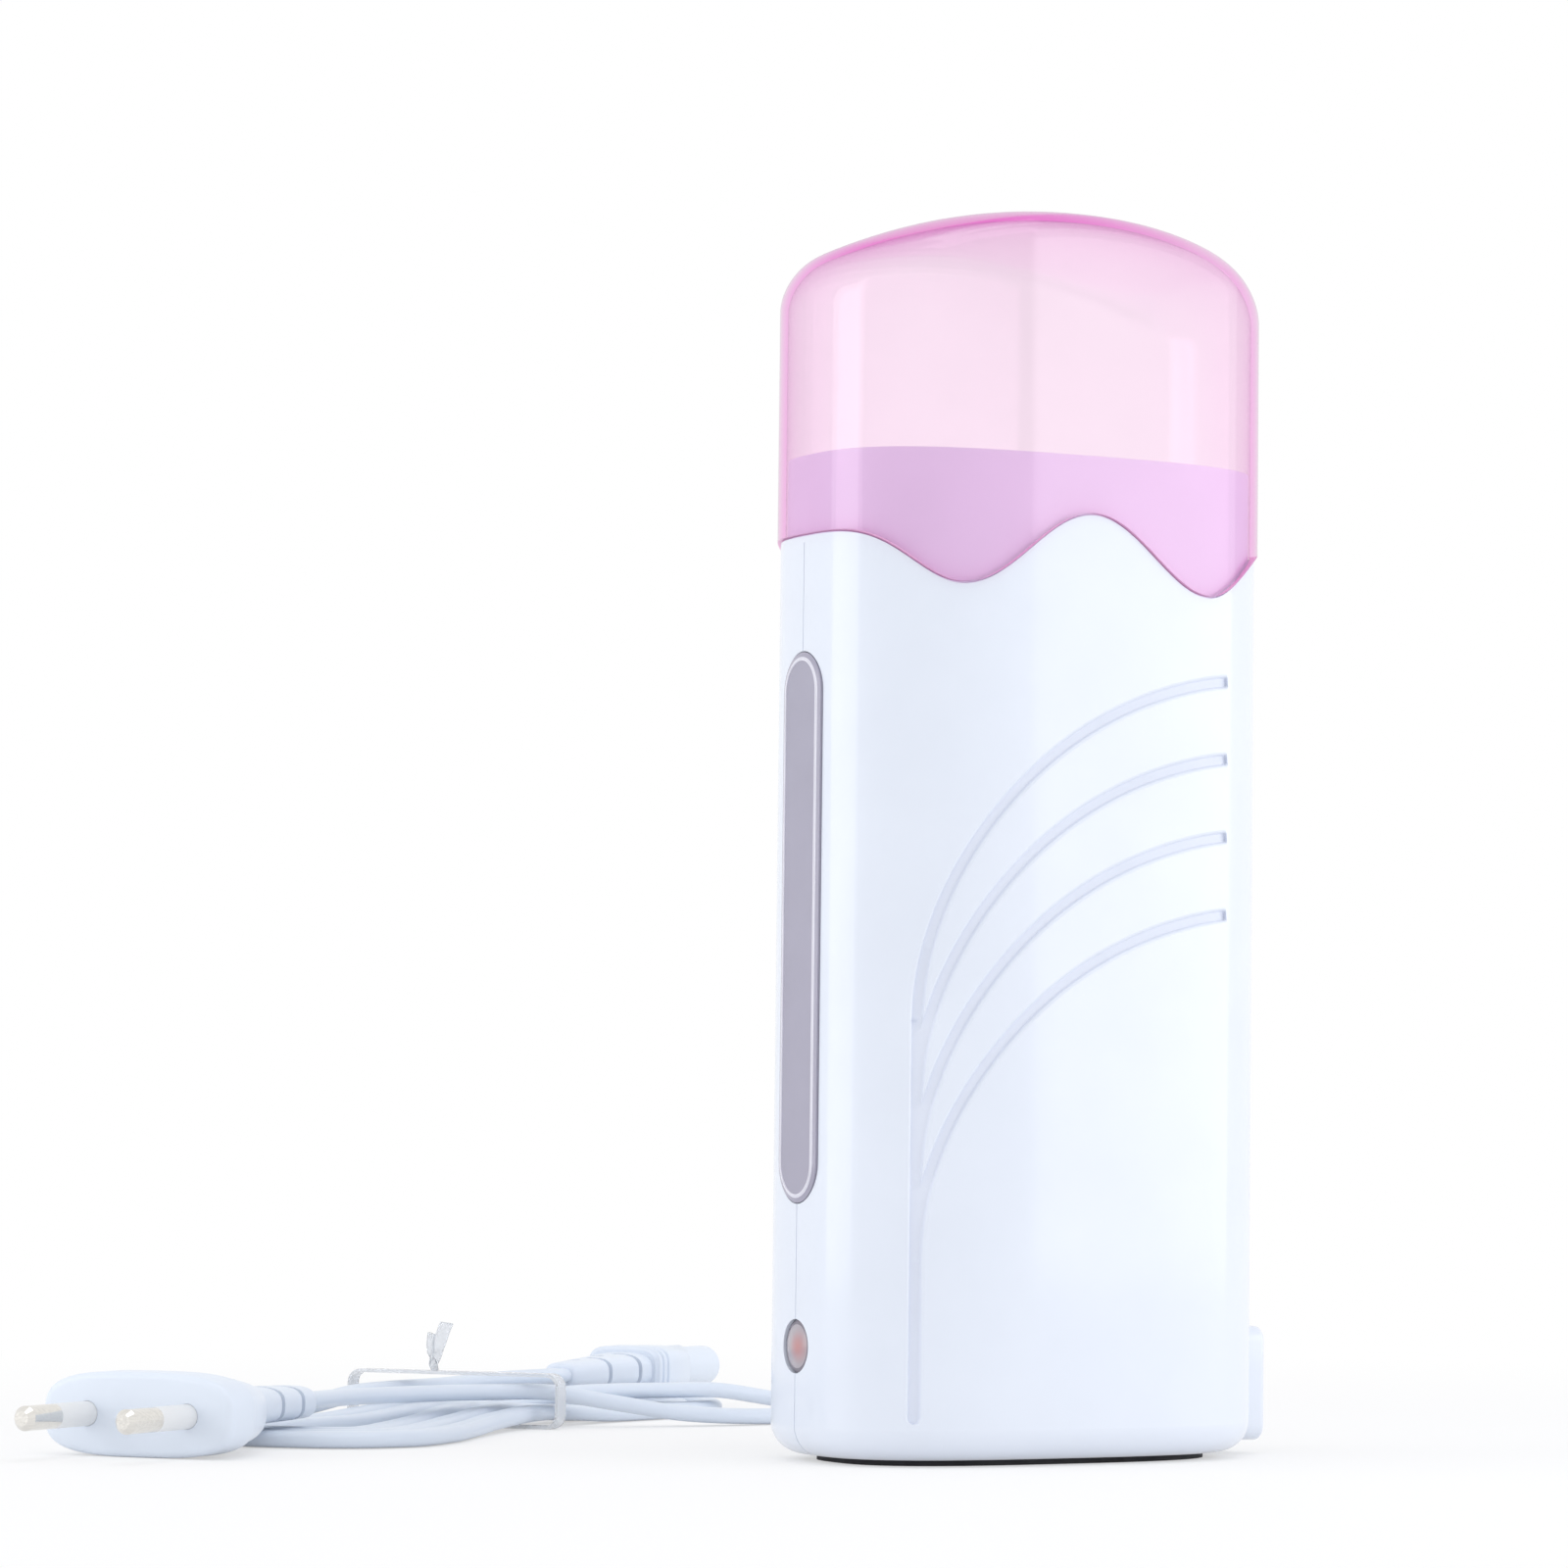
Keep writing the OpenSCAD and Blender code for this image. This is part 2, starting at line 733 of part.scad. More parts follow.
wire_r = 0.7;
WIRE_SIDES = 8;
wire_y = ptc_y + 1;
tail_x = inlet_back - pin_tail;
pin_high = inlet_z + pin_pitch / 2;
pin_low = inlet_z - pin_pitch / 2;
face_x = board_x + board_t;
// A direction that no wire runs along
wire_level = [0.5, 0.4, -0.6];

module wire(p, c) {
    color(c) tube(p, 2 * wire_r, 2 * wire_r, WIRE_SIDES, wire_level);
}

module wire_live() {
    side_x = cradle_x - 2.5;
    stat_z = thermostat_z + thermostat_h / 2;
    wire([[tail_x, 0, pin_high], [tail_x - 2, 0, pin_high], [22, 4, 18], [20, 11, 20],
          [side_x, wire_y - 1, 26], [side_x, wire_y, 34], [side_x, wire_y, stat_z - 10],
          [side_x - 3, wire_y, stat_z - 4], [12, wire_y, stat_z], [6, wire_y, stat_z],
          [thermostat_w / 2, wire_y, stat_z]], "firebrick");
    wire([[0, wire_y, ptc_z + ptc_h], [0, wire_y, thermostat_z]], "firebrick");
}

module wire_neutral() {
    wire([[tail_x, 0, pin_low], [tail_x - 2, 0, pin_low], [22, 3, 11], [18, 9, 15],
          [12, 14, 19], [8, wire_y - 1, 26], [8, wire_y, 34], [8, wire_y, ptc_z]], "royalblue");
}

module wire_lamp() {
    for (w = [[4, -9], [-4, -4.5]])
        wire([[face_x, w[0], 15.5], [face_x + 3, w[0], 15.5], [-14, w[0] + 5, 17],
              [w[1] - 2, 13, 20], [w[1], wire_y - 1, 27], [w[1], wire_y, 35], [w[1], wire_y, ptc_z]],
             "dimgray");
}

module case_screws() {
    color(steel) at_screws() difference() {
        union() {
            along_y(screw_r, screw_seat_y - screw_l, screw_seat_y);
            along_y(screw_head_r, screw_seat_y, screw_seat_y + screw_head_h);
        }
        for (turn = [0, 90]) translate([0, screw_seat_y + screw_head_h, 0]) rotate([0, turn, 0])
            cube([0.7, 2, 3.2], center = true);
    }
}

// ---- The cord set, laid on the surface beside the heater ----
// Its own frame: X runs from the plug's pin tips to the connector's tip, Y across, Z up

cord_at = [-148, 38];
cord_turn = 38;
cord_z = cord_t / 2;

module in_cord_frame() {
    translate([cord_at[0], cord_at[1], 0]) rotate([0, 0, cord_turn]) children();
}

// A closed outline square to X, w wide and t high, as a superellipse of power p
function cross_ring(x, y, z, w, t, p, n = 32) = [for (i = [0:n - 1]) let (a = 360 * i / n)
    [x, y + w / 2 * spow(cos(a), 2 / p), z + t / 2 * spow(sin(a), 2 / p)]];

flange_x = plug_pin_l;
flange_l = 8;
plug_back = 48;
relief_end = 68;
relief_w = 12.4;
relief_t = 6.4;
plug_z = plug_t / 2;
plug_lip = 1.2;
pin_sleeve_l = 10;
pin_root = 5;
pin_core_r = plug_pin_r - 0.5;

module plug_body() {
    steps = 8;
    w0 = plug_w - 2 * plug_lip;
    t0 = plug_t - plug_lip;
    color(cord_white) in_cord_frame() difference() {
        union() {
            loft([cross_ring(flange_x, 0, plug_z, plug_w - 2, plug_t - 2, 3.2),
                  cross_ring(flange_x + 1, 0, plug_z, plug_w, plug_t, 3.2),
                  cross_ring(flange_x + flange_l - 1, 0, plug_z, plug_w, plug_t, 3.2),
                  cross_ring(flange_x + flange_l, 0, plug_z, w0, t0, 3.2)]);
            loft([for (k = [0:steps]) let (u = k / steps, f = 1 - pow(u, 1.6))
                cross_ring(flange_x + flange_l - 0.5 + u * (plug_back - flange_x - flange_l + 0.5), 0,
                           plug_z, relief_w + (w0 - relief_w) * f, relief_t + (t0 - relief_t) * f, 3)]);
        }
        at_plug_pins() translate([-1, 0, 0]) rotate([0, 90, 0])
            cylinder(r = plug_pin_r, h = flange_x + pin_root + 1, $fn = fine);
    }
}

module at_plug_pins() {
    for (s = [-1, 1]) translate([0, s * plug_pitch / 2, plug_z]) children();
}

module plug_pins() {
    tip = plug_pin_r / 2;
    bare = plug_pin_l - pin_sleeve_l;
    color(steel) in_cord_frame() at_plug_pins() rotate([0, 90, 0]) {
        cylinder(r1 = plug_pin_r * 0.6, r2 = plug_pin_r, h = tip, $fn = fine);
        translate([0, 0, tip]) cylinder(r = plug_pin_r, h = bare - tip, $fn = fine);
        translate([0, 0, bare]) cylinder(r = pin_core_r, h = pin_sleeve_l + pin_root, $fn = fine);
    }
}

module plug_sleeves() {
    color("whitesmoke") in_cord_frame() at_plug_pins()
        translate([plug_pin_l - pin_sleeve_l, 0, 0]) rotate([0, 90, 0]) difference() {
            cylinder(r = plug_pin_r, h = pin_sleeve_l + pin_root, $fn = fine);
            translate([0, 0, -1]) cylinder(r = pin_core_r, h = pin_sleeve_l + pin_root + 2, $fn = fine);
        }
}

relief_slots = 4;
relief_slot_w = 1.2;
relief_core = 2.2;

// A tapered strain relief from x0 to x1, cut from alternate sides by slots that stop at its core
module relief(x0, x1, y, z, w0, t0, w1, t1, first, pitch) {
    wide = max(w0, w1);
    difference() {
        loft([cross_ring(x0, y, z, w0, t0, 3), cross_ring(x1, y, z, w1, t1, 3)]);
        for (k = [0:relief_slots - 1]) let (s = k % 2 == 0 ? 1 : -1)
            translate([first + k * pitch, y + s * (relief_core + wide / 2), z])
                cube([relief_slot_w, wide, 2 * wide], center = true);
    }
}

module plug_relief() {
    color(cord_white) in_cord_frame()
        relief(plug_back, relief_end, 0, plug_z, relief_w, relief_t, relief_w - 2, relief_t - 0.8,
               plug_back + 4, 3.6);
}

lead_x = 163;
grip_x = 189;
tip_x0 = 203.6;
connector_end = 217.6;
connector_y = -1.4;
connector_z = 7.6;
lead_w = cord_w + 1.2;
lead_t = cord_t + 1.6;

module at_connector_pins() {
    for (s = [-1, 1])
        translate([0, connector_y + s * pin_pitch / 2, connector_z]) rotate([0, 90, 0]) children();
}

sleeve_x = tip_x0 + 2;

module connector_body() {
    ribs = 3;
    w = connector_w + 1.2;
    t = connector_t + 1;
    color(cord_white) in_cord_frame() difference() {
        union() {
            translate([tip_x0 - 1, connector_y, connector_z]) rotate([90, 0, 90])
                linear_extrude(connector_end - tip_x0 + 1) rotate([0, 0, 90])
                    figure_eight(connector_t, connector_w);
            loft([cross_ring(grip_x, connector_y, connector_z, w, t, 4),
                  cross_ring(tip_x0, connector_y, connector_z, w, t, 4)]);
            for (k = [0:ribs - 1]) let (x = grip_x + 0.4 + k * 2)
                loft([cross_ring(x, connector_y, connector_z, w + 0.8, t + 0.6, 4),
                      cross_ring(x + 1.2, connector_y, connector_z, w + 0.8, t + 0.6, 4)]);
        }
        at_connector_pins() translate([0, 0, sleeve_x])
            cylinder(r = pin_r + 0.5, h = connector_end, $fn = fine);
    }
}

module connector_sleeves() {
    color("goldenrod") in_cord_frame() at_connector_pins() translate([0, 0, sleeve_x]) difference() {
        cylinder(r = pin_r + 0.5, h = connector_end - sleeve_x - 0.5, $fn = fine);
        translate([0, 0, 1]) cylinder(r = pin_r + 0.1, h = connector_end, $fn = fine);
    }
}

module connector_relief() {
    color(cord_white) in_cord_frame()
        relief(lead_x, grip_x, connector_y, connector_z, lead_w, lead_t, connector_w - 0.8,
               connector_t - 0.6, lead_x + 7, 5);
}

// The hank: a flat spiral of loops, drawn in at the waist, wound inwards from its outer start
hank_x = 126;
HANK_RINGS = 24;
HANK_SIDES = 6;
hank_start = 0.1;
waist_lift = tie_t + 0.6;

function hank_base(a) = [hank_half_l * cos(a), sin(a) * (hank_waist + hank_swell * pow(cos(a), 2))];

function hank_point(turn) = let (
        a = 90 + 360 * turn,
        p = hank_base(a),
        d = unit(hank_base(a + 0.5) - hank_base(a - 0.5)),
        q = p + [-d[1], d[0]] * hank_step * turn,
        lift = waist_lift * exp(-pow(q[0] / 14, 2)))
    [hank_x + q[0], q[1], cord_z + lift];

hank_rings = round(HANK_RINGS * (hank_turns - hank_start));
hank_path = [for (k = [0:hank_rings])
    hank_point(hank_start + (hank_turns - hank_start) * k / hank_rings)];

hank_skin = [for (i = [0:len(hank_path) - 1])
    tube_ring(hank_path[i], heading(hank_path, i), cord_w, cord_t, HANK_SIDES, [0, 0, 1])];

// Least distance between the skins of two strands that lie side by side, from ring points to centre lines
function strand_gap(i, j) = let (a = hank_path[j], b = hank_path[j + 1], d = b - a)
    min([for (p = hank_skin[i]) let (u = max(0, min(1, (p - a) * d / (d * d)))) norm(p - a - d * u)])
        - cord_w / 2;
hank_gap = min([for (i = [0:len(hank_path) - 1], j = [0:len(hank_path) - 2])
    if (abs(i - j) > HANK_RINGS / 3) strand_gap(i, j)]);

module cord_hank() {
    color(cord_white) in_cord_frame() loft(hank_skin);
}

// From the connector's relief over the loops' top strands to the hank's start
lead_path = [[lead_x, connector_y, connector_z], [lead_x - 4, connector_y, connector_z],
             [154, -0.4, 7.6], [146, 2.6, 7.4], [136, 7.4, 6.7], [126, 12, 6.4], [118, 15.6, 5.9],
             [110, 18.6, 4.4], [101, 21.4, 2.8], [92, 23.6, 1.8], hank_path[0]];

// From the hank's end round the big free loop, over the waist and back to the plug's relief
loop_path = [hank_path[hank_rings], [136, -1.8, 2.6], [146, -3.6, 3.6], [155, -7, 4.7],
             [164, -12.5, 5],
             [172, -18.5, 5], [180, -25, 4.9], [188, -31.5, 3.4], [193, -39, 1.9], [190, -47, 1.5],
             [181, -51, 1.5], [169, -49, 1.5], [157, -42.5, 1.6], [147, -34, 2.4], [138, -25, 4.4],
             [130, -16, 6.3], [121, -9, 6.5], [110, -4, 6.6], [98, -1.2, 6.7], [86, 0, 6.85],
                     [76, 0, plug_z], [relief_end, 0, plug_z]];

module cord() {
    color(cord_white) in_cord_frame() {
        tube(lead_path, cord_w, cord_t, 8);
        tube(loop_path, cord_w, cord_t, 8);
    }
}

echo(hank_least_gap_mm = hank_gap,
     cord_length_mm = path_length(lead_path) + path_length(hank_path) + path_length(loop_path));

module cord_tie() {
    w = 2 * (hank_waist + cord_w / 2 + 0.6 + tie_t);
    h = waist_lift + 2 * cord_t + 1.5 + 2 * tie_t;
    r = 2.5;
    color([0.95, 0.96, 1, 0.7]) in_cord_frame() {
        translate([hank_x - tie_w / 2, 0, h / 2]) rotate([90, 0, 90]) linear_extrude(tie_w) difference() {
            rounded_rect(w, h, r);
            rounded_rect(w - 2 * tie_t, h - 2 * tie_t, r - tie_t);
        }
        translate([hank_x - tie_w / 2, 3, h - eps]) rotate([0, 25, 0]) cube([1, 2.4, 10]);
    }
}

front_shell();
rear_shell();
base_pad();
cap();
cartridge_well();
window_lens();
lamp_lens();
indicator_bulb();
lamp_board();
lamp_resistor();
inlet_housing();
inlet_pins();
heater_plate();
ptc_element();
ptc_clamp();
clamp_rivets();
insulation_sheet();
thermostat();
wire_live();
wire_neutral();
wire_lamp();
case_screws();
plug_body();
plug_pins();
plug_sleeves();
plug_relief();
cord();
cord_hank();
cord_tie();
connector_body();
connector_relief();
connector_sleeves();
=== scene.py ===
# %% [markdown]
# # A roll-on wax heater
# A white moulded case stands upright under a clear pink cap, with a long sight window and a small
# lamp on its narrow left side. Its flat mains lead lies beside it in a hank. The script first loads
# the heater's construction, and then makes every surface that shows: the case as a lofted block
# with cuts, the cap as a thin clear shell, and the lead as a tube that follows its route.

# %% Load the construction
import math

import bmesh
import bpy
import numpy as np
from mathutils import Matrix, Vector


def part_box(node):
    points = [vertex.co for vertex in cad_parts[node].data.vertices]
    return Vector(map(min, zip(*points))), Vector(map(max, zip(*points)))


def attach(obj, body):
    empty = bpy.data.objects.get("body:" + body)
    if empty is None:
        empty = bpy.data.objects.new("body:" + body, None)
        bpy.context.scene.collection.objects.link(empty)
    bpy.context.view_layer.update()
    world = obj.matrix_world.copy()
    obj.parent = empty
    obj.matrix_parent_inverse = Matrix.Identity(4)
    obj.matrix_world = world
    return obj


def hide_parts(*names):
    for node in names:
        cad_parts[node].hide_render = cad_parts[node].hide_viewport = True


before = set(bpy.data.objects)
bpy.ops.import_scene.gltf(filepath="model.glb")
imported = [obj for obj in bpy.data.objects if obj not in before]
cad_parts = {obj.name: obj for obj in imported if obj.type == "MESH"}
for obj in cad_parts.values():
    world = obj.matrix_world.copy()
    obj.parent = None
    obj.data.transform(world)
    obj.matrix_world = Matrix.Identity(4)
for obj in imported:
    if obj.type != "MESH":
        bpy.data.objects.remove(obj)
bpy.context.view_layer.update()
MM = 0.001

# %% [markdown]
# The photograph was taken with a long lens from nearly a metre away, almost level with the foot of
# the heater, so its upright edges stay close to parallel. The heater stands right of the picture's
# middle, and the lens is shifted for that instead of turning the camera, which would bend the
# outline.

# %% Camera
CAMERA_AZIMUTH = math.radians(29.24)
CAMERA_DISTANCE = 918 * MM
CAMERA_HEIGHT = 55.6 * MM
CAMERA_PITCH = math.radians(3.44)
CAMERA_ROLL = math.radians(0.515)
CAMERA_LENS, CAMERA_SENSOR = 127.7, 36
CAMERA_NEAR, CAMERA_FAR = 0.05, 50
PHOTO_WIDTH = 1600
HEATER_AXIS_PIXEL = 1038


def add_camera():
    ahead = Vector((math.sin(CAMERA_AZIMUTH), math.cos(CAMERA_AZIMUTH), 0))
    right = Vector((ahead.y, -ahead.x, 0))
    look = ahead * math.cos(CAMERA_PITCH) + Vector((0, 0, math.sin(CAMERA_PITCH)))
    up = right.cross(look)
    rolled_right = right * math.cos(CAMERA_ROLL) + up * math.sin(CAMERA_ROLL)
    rolled_up = rolled_right.cross(look)
    data = bpy.data.cameras.new("camera")
    data.lens = CAMERA_LENS
    data.sensor_width = CAMERA_SENSOR
    data.shift_x = -(HEATER_AXIS_PIXEL - PHOTO_WIDTH / 2) / PHOTO_WIDTH
    data.clip_start, data.clip_end = CAMERA_NEAR, CAMERA_FAR
    camera = bpy.data.objects.new("camera", data)
    turn = Matrix((rolled_right, rolled_up, -look)).transposed().to_4x4()
    place = Vector((0, 0, CAMERA_HEIGHT)) - ahead * CAMERA_DISTANCE
    camera.matrix_world = Matrix.Translation(place) @ turn
    bpy.context.collection.objects.link(camera)
    bpy.context.scene.camera = camera
    return camera


camera = add_camera()
print("camera at", [round(v, 3) for v in camera.location], "m")

# %% [markdown]
# Most pieces here are closed skins through a row of rings, so one helper lofts them. Sizes are
# written in millimetres, as on a drawing, and turned into metres only where a mesh is made. A loft
# that is closed at both ends is a solid, which keeps the cuts made later clean.

# %% Mesh helpers


def new_piece(name, points, faces):
    """A mesh piece at the origin, from points in millimetres."""
    mesh = bpy.data.meshes.new(name)
    mesh.from_pydata([tuple(c * MM for c in p) for p in points], [], faces)
    mesh.update()
    piece = bpy.data.objects.new(name, mesh)
    bpy.context.collection.objects.link(piece)
    return piece


def loft(name, rings):
    """A closed skin through rings of equal length."""
    count = len(rings[0])
    last = (len(rings) - 1) * count
    faces = [tuple(range(count - 1, -1, -1))]
    for r in range(len(rings) - 1):
        for i in range(count):
            j = (i + 1) % count
            a, b = r * count, (r + 1) * count
            faces.append((a + i, a + j, b + j, b + i))
    faces.append(tuple(last + i for i in range(count)))
    return face_outwards(new_piece(name, [p for ring in rings for p in ring], faces))


def face_outwards(piece):
    """Turns all faces over where the solid came out inside out."""
    solid = bmesh.new()
    solid.from_mesh(piece.data)
    if solid.calc_volume(signed=True) < 0:
        piece.data.flip_normals()
    solid.free()
    return piece


def along_x(outline, *places):
    """Rings of (y, z) points, one at each x, on the heater's narrow sides."""
    return [[(x, y, z) for y, z in outline] for x in places]


def along_y(outline, *places):
    """Rings of (x, z) points, one at each y, on the heater's front or back."""
    return [[(x, y, z) for x, z in outline] for y in places]


def along_z(outline, *places):
    """Rings of (x, y) points, one at each z."""
    return [[(x, y, z) for x, y in outline] for z in places]


def cut(piece, cutter, operation="DIFFERENCE"):
    """Applies one boolean with cutter, and takes the cutter away."""
    change = piece.modifiers.new("cut", "BOOLEAN")
    change.operation = operation
    change.solver = "MANIFOLD"
    change.object = cutter
    bake(piece)
    bpy.data.objects.remove(cutter)
    return piece


def bake(piece):
    """Puts what the piece's modifiers make into its own mesh."""
    graph = bpy.context.evaluated_depsgraph_get()
    made = bpy.data.meshes.new_from_object(piece.evaluated_get(graph))
    plain, name = piece.data, piece.data.name
    piece.modifiers.clear()
    piece.data = made
    bpy.data.meshes.remove(plain)
    made.name = name
    return piece


def finished(piece, material, angle=35):
    """Gives the whole piece one material, and smooth shading that keeps edges sharper than angle."""
    mesh = piece.data
    mesh.materials.clear()
    mesh.materials.append(material)
    mesh.shade_smooth()
    mesh.set_sharp_from_angle(angle=math.radians(angle))
    return piece


def finish_faces(piece, material, chosen):
    """Gives material to the faces for which chosen(centre, normal) is true, in millimetres."""
    piece.data.materials.append(material)
    last = len(piece.data.materials) - 1
    found = [face for face in piece.data.polygons if chosen(face.center / MM, face.normal)]
    for face in found:
        face.material_index = last
    return len(found)


def arc(centre, radius, start, end, steps):
    """Points on a circle's arc, both ends included, from start to end in degrees."""
    angles = [math.radians(start + (end - start) * k / steps) for k in range(steps + 1)]
    return [(centre[0] + radius * math.cos(a), centre[1] + radius * math.sin(a)) for a in angles]


def quarter(start, count):
    """Angles from start to a quarter turn."""
    return np.linspace(start, math.pi / 2, count)


def rounded_outline(width, height, radius, centre=(0, 0), steps=12):
    """A rectangle with round corners, or a stadium where radius is half the width."""
    u, v = width / 2 - radius, height / 2 - radius
    corners = [(u, v, 0), (-u, v, 90), (-u, -v, 180), (u, -v, 270)]
    return [p for cu, cv, start in corners
            for p in arc((centre[0] + cu, centre[1] + cv), radius, start, start + 90, steps)]


def disc_outline(radius, height, steps=12):
    """A circle on a narrow side of the heater, at a height over the floor."""
    return rounded_outline(2 * radius, 2 * radius, radius, (0, height), steps)


def signed_power(value, power):
    return math.copysign(abs(value) ** power, value)


def superellipse(width, thick, power, count):
    """An outline between an ellipse, where power is 2, and a rectangle, where it is large."""
    turns = [math.tau * k / count for k in range(count)]
    return [(width / 2 * signed_power(math.cos(a), 2 / power),
             thick / 2 * signed_power(math.sin(a), 2 / power)) for a in turns]


def stand(piece, body, slot, *nodes):
    """Lets piece ride on a body in place of nodes; slot is not used."""
    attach(piece, body)
    if nodes:
        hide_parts(*nodes)
    return piece


def tell(*pieces):
    for piece in pieces:
        print("made", piece.name, "with", len(piece.data.polygons), "faces")


# %% [markdown]
# The mains lead is one flat two-core cord of about a metre. A buyer gets it folded in a hank: two
# and a half loops drawn in at the waist by a clear tie, and one loop left free between the hank and
# the plug. A cord keeps its length, so its route is set out first, as points in the lead's own
# frame, with X from the plug's pins to the connector. One smooth curve then runs through them.

# %% The lead's route
LEAD_PLACE = (-148, 38)
LEAD_TURN = math.radians(38)
CORD_WIDTH, CORD_THICK = 5.2, 3
HANK_MIDDLE = 126
HANK_REACH, HANK_WAIST, HANK_SWELL, HANK_STEP = 74, 17.2, 40, 6.3
HANK_START, HANK_TURNS, HANK_RINGS = 0.1, 2.5, 24
WAIST_LIFT, WAIST_SPREAD = 1.4, 14
CORD_STEP = 1.6
PLUG_Z = 6.85
CONNECTOR_Y, CONNECTOR_Z = -1.4, 7.6
LEAD_START, PLUG_RELIEF_END = 163, 68


def hank_base(angle):
    return np.array([HANK_REACH * math.cos(angle),
                     math.sin(angle) * (HANK_WAIST + HANK_SWELL * math.cos(angle) ** 2)])


def hank_point(turn):
    """A point of the hank's spiral, which steps inwards by a little over a cord's width each turn."""
    angle = math.pi / 2 + math.tau * turn
    ahead = hank_base(angle + 0.01) - hank_base(angle - 0.01)
    ahead /= np.linalg.norm(ahead)
    x, y = hank_base(angle) + np.array([-ahead[1], ahead[0]]) * HANK_STEP * turn
    lift = WAIST_LIFT * math.exp(-(x / WAIST_SPREAD) ** 2)
    return HANK_MIDDLE + x, y, CORD_THICK / 2 + lift


hank_rings = round(HANK_RINGS * (HANK_TURNS - HANK_START))
hank_route = [hank_point(HANK_START + (HANK_TURNS - HANK_START) * k / hank_rings)
              for k in range(hank_rings + 1)]
lead_route = [(LEAD_START, CONNECTOR_Y, CONNECTOR_Z), (LEAD_START - 4, CONNECTOR_Y, CONNECTOR_Z),
              (154, -0.4, 7.6), (146, 2.6, 7.4), (136, 7.4, 6.7), (126, 12, 6.4), (118, 15.6, 5.9),
              (110, 18.6, 4.4), (101, 21.4, 2.8), (92, 23.6, 1.8)]
loop_route = [(136, -1.8, 2.6), (146, -3.6, 3.6), (155, -7, 4.7), (164, -12.5, 5), (172, -18.5, 5),
              (180, -25, 4.9), (188, -31.5, 3.4), (193, -39, 1.9), (190, -47, 1.5), (181, -51, 1.5),
              (169, -49, 1.5), (157, -42.5, 1.6), (147, -34, 2.4), (138, -25, 4.4), (130, -16, 6.3),
              (121, -9, 6.5), (110, -4, 6.6), (98, -1.2, 6.7), (86, 0, PLUG_Z), (76, 0, PLUG_Z),
              (PLUG_RELIEF_END, 0, PLUG_Z)]


def smooth_route(points, step):
    """A cubic curve through points, with a point about every step millimetres."""
    p = np.array(points, float)
    gaps = np.linalg.norm(np.diff(p, axis=0), axis=1)
    slopes = np.diff(p, axis=0) / gaps[:, None]
    before, after = gaps[:-1, None], gaps[1:, None]
    inner = (slopes[:-1] * after + slopes[1:] * before) / (before + after)
    tangents = np.vstack([slopes[:1], inner, slopes[-1:]])
    made = []
    for k, gap in enumerate(gaps):
        for u in np.linspace(0, 1, max(2, round(gap / step)), endpoint=False):
            made.append((2 * u**3 - 3 * u**2 + 1) * p[k] + (u**3 - 2 * u**2 + u) * gap * tangents[k]
                        + (3 * u**2 - 2 * u**3) * p[k + 1] + (u**3 - u**2) * gap * tangents[k + 1])
    return np.array(made + [p[-1]])


def in_room(points):
    """Points of the lead's own frame, turned and moved to where the lead lies beside the heater."""
    p = np.asarray(points, float)
    c, s = math.cos(LEAD_TURN), math.sin(LEAD_TURN)
    return np.stack([LEAD_PLACE[0] + c * p[:, 0] - s * p[:, 1],
                     LEAD_PLACE[1] + s * p[:, 0] + c * p[:, 1], p[:, 2]], axis=1)


cord_route = smooth_route(lead_route + hank_route + loop_route, CORD_STEP)

# %% [markdown]
# The cord's sheath is pressed out through a die, so its section is the same from end to end: two
# cores side by side under a flat oval, with a shallow dip along the middle where they meet. It lies
# flat all the way, so each ring of the tube is turned to keep its wide side level.

# %% The cord
SECTION_POINTS, SECTION_POWER = 28, 2 / 0.86
DIP_DEPTH, DIP_WIDTH = 0.13, 0.75


def sheath_section():
    return [(a, b * (1 - DIP_DEPTH * math.exp(-((a / DIP_WIDTH) ** 2))))
            for a, b in superellipse(CORD_WIDTH, CORD_THICK, SECTION_POWER, SECTION_POINTS)]


def level_rings(route, section):
    """Rings across a route, each turned so that its first axis stays level."""
    rings = []
    for k, point in enumerate(route):
        ahead = route[min(k + 1, len(route) - 1)] - route[max(k - 1, 0)]
        ahead /= np.linalg.norm(ahead)
        left = np.cross((0, 0, 1), ahead)
        left /= np.linalg.norm(left)
        up = np.cross(ahead, left)
        rings.append([point + left * a + up * b for a, b in section])
    return rings


def make_cord(material):
    rings = level_rings(in_room(cord_route), sheath_section())
    return finished(loft("mains_cord", rings), material, 60)


# %% [markdown]
# Moulded plastic is never a flat colour seen close up: pigment drifts a little, the mould's polish
# leaves a faint unevenness in the gloss, and handling leaves it a little softer in places. One
# helper makes that kind of plastic, and every part gets its own colour, gloss and grain from it.
# The coordinates are the object's own, so the detail stays on the part when it moves.

# %% Plastic materials
NOISE_LOW, NOISE_HIGH = 0.3, 0.7
COLOUR_PATCH, GLOSS_PATCH = 18, 7
COAT_ROUGHNESS = 0.08
CLEAR_IOR = 1.45


def new_material(name):
    """A material with its shader and a source of object coordinates."""
    material = bpy.data.materials.new(name)
    material.use_nodes = True
    nodes = material.node_tree.nodes
    return material, nodes["Principled BSDF"], nodes.new("ShaderNodeTexCoord").outputs["Object"]


def fill(node, sockets):
    """Fills node's sockets, each with a value or with another node's output."""
    for label, value in sockets.items():
        if isinstance(value, bpy.types.NodeSocket):
            node.id_data.links.new(value, node.inputs[label])
        else:
            node.inputs[label].default_value = value
    return node


def add_node(near, kind, sockets, **settings):
    """A new shader node with its settings and sockets, in the tree that the socket near is in."""
    node = near.id_data.nodes.new("ShaderNode" + kind)
    for name, value in settings.items():
        setattr(node, name, value)
    return fill(node, sockets)


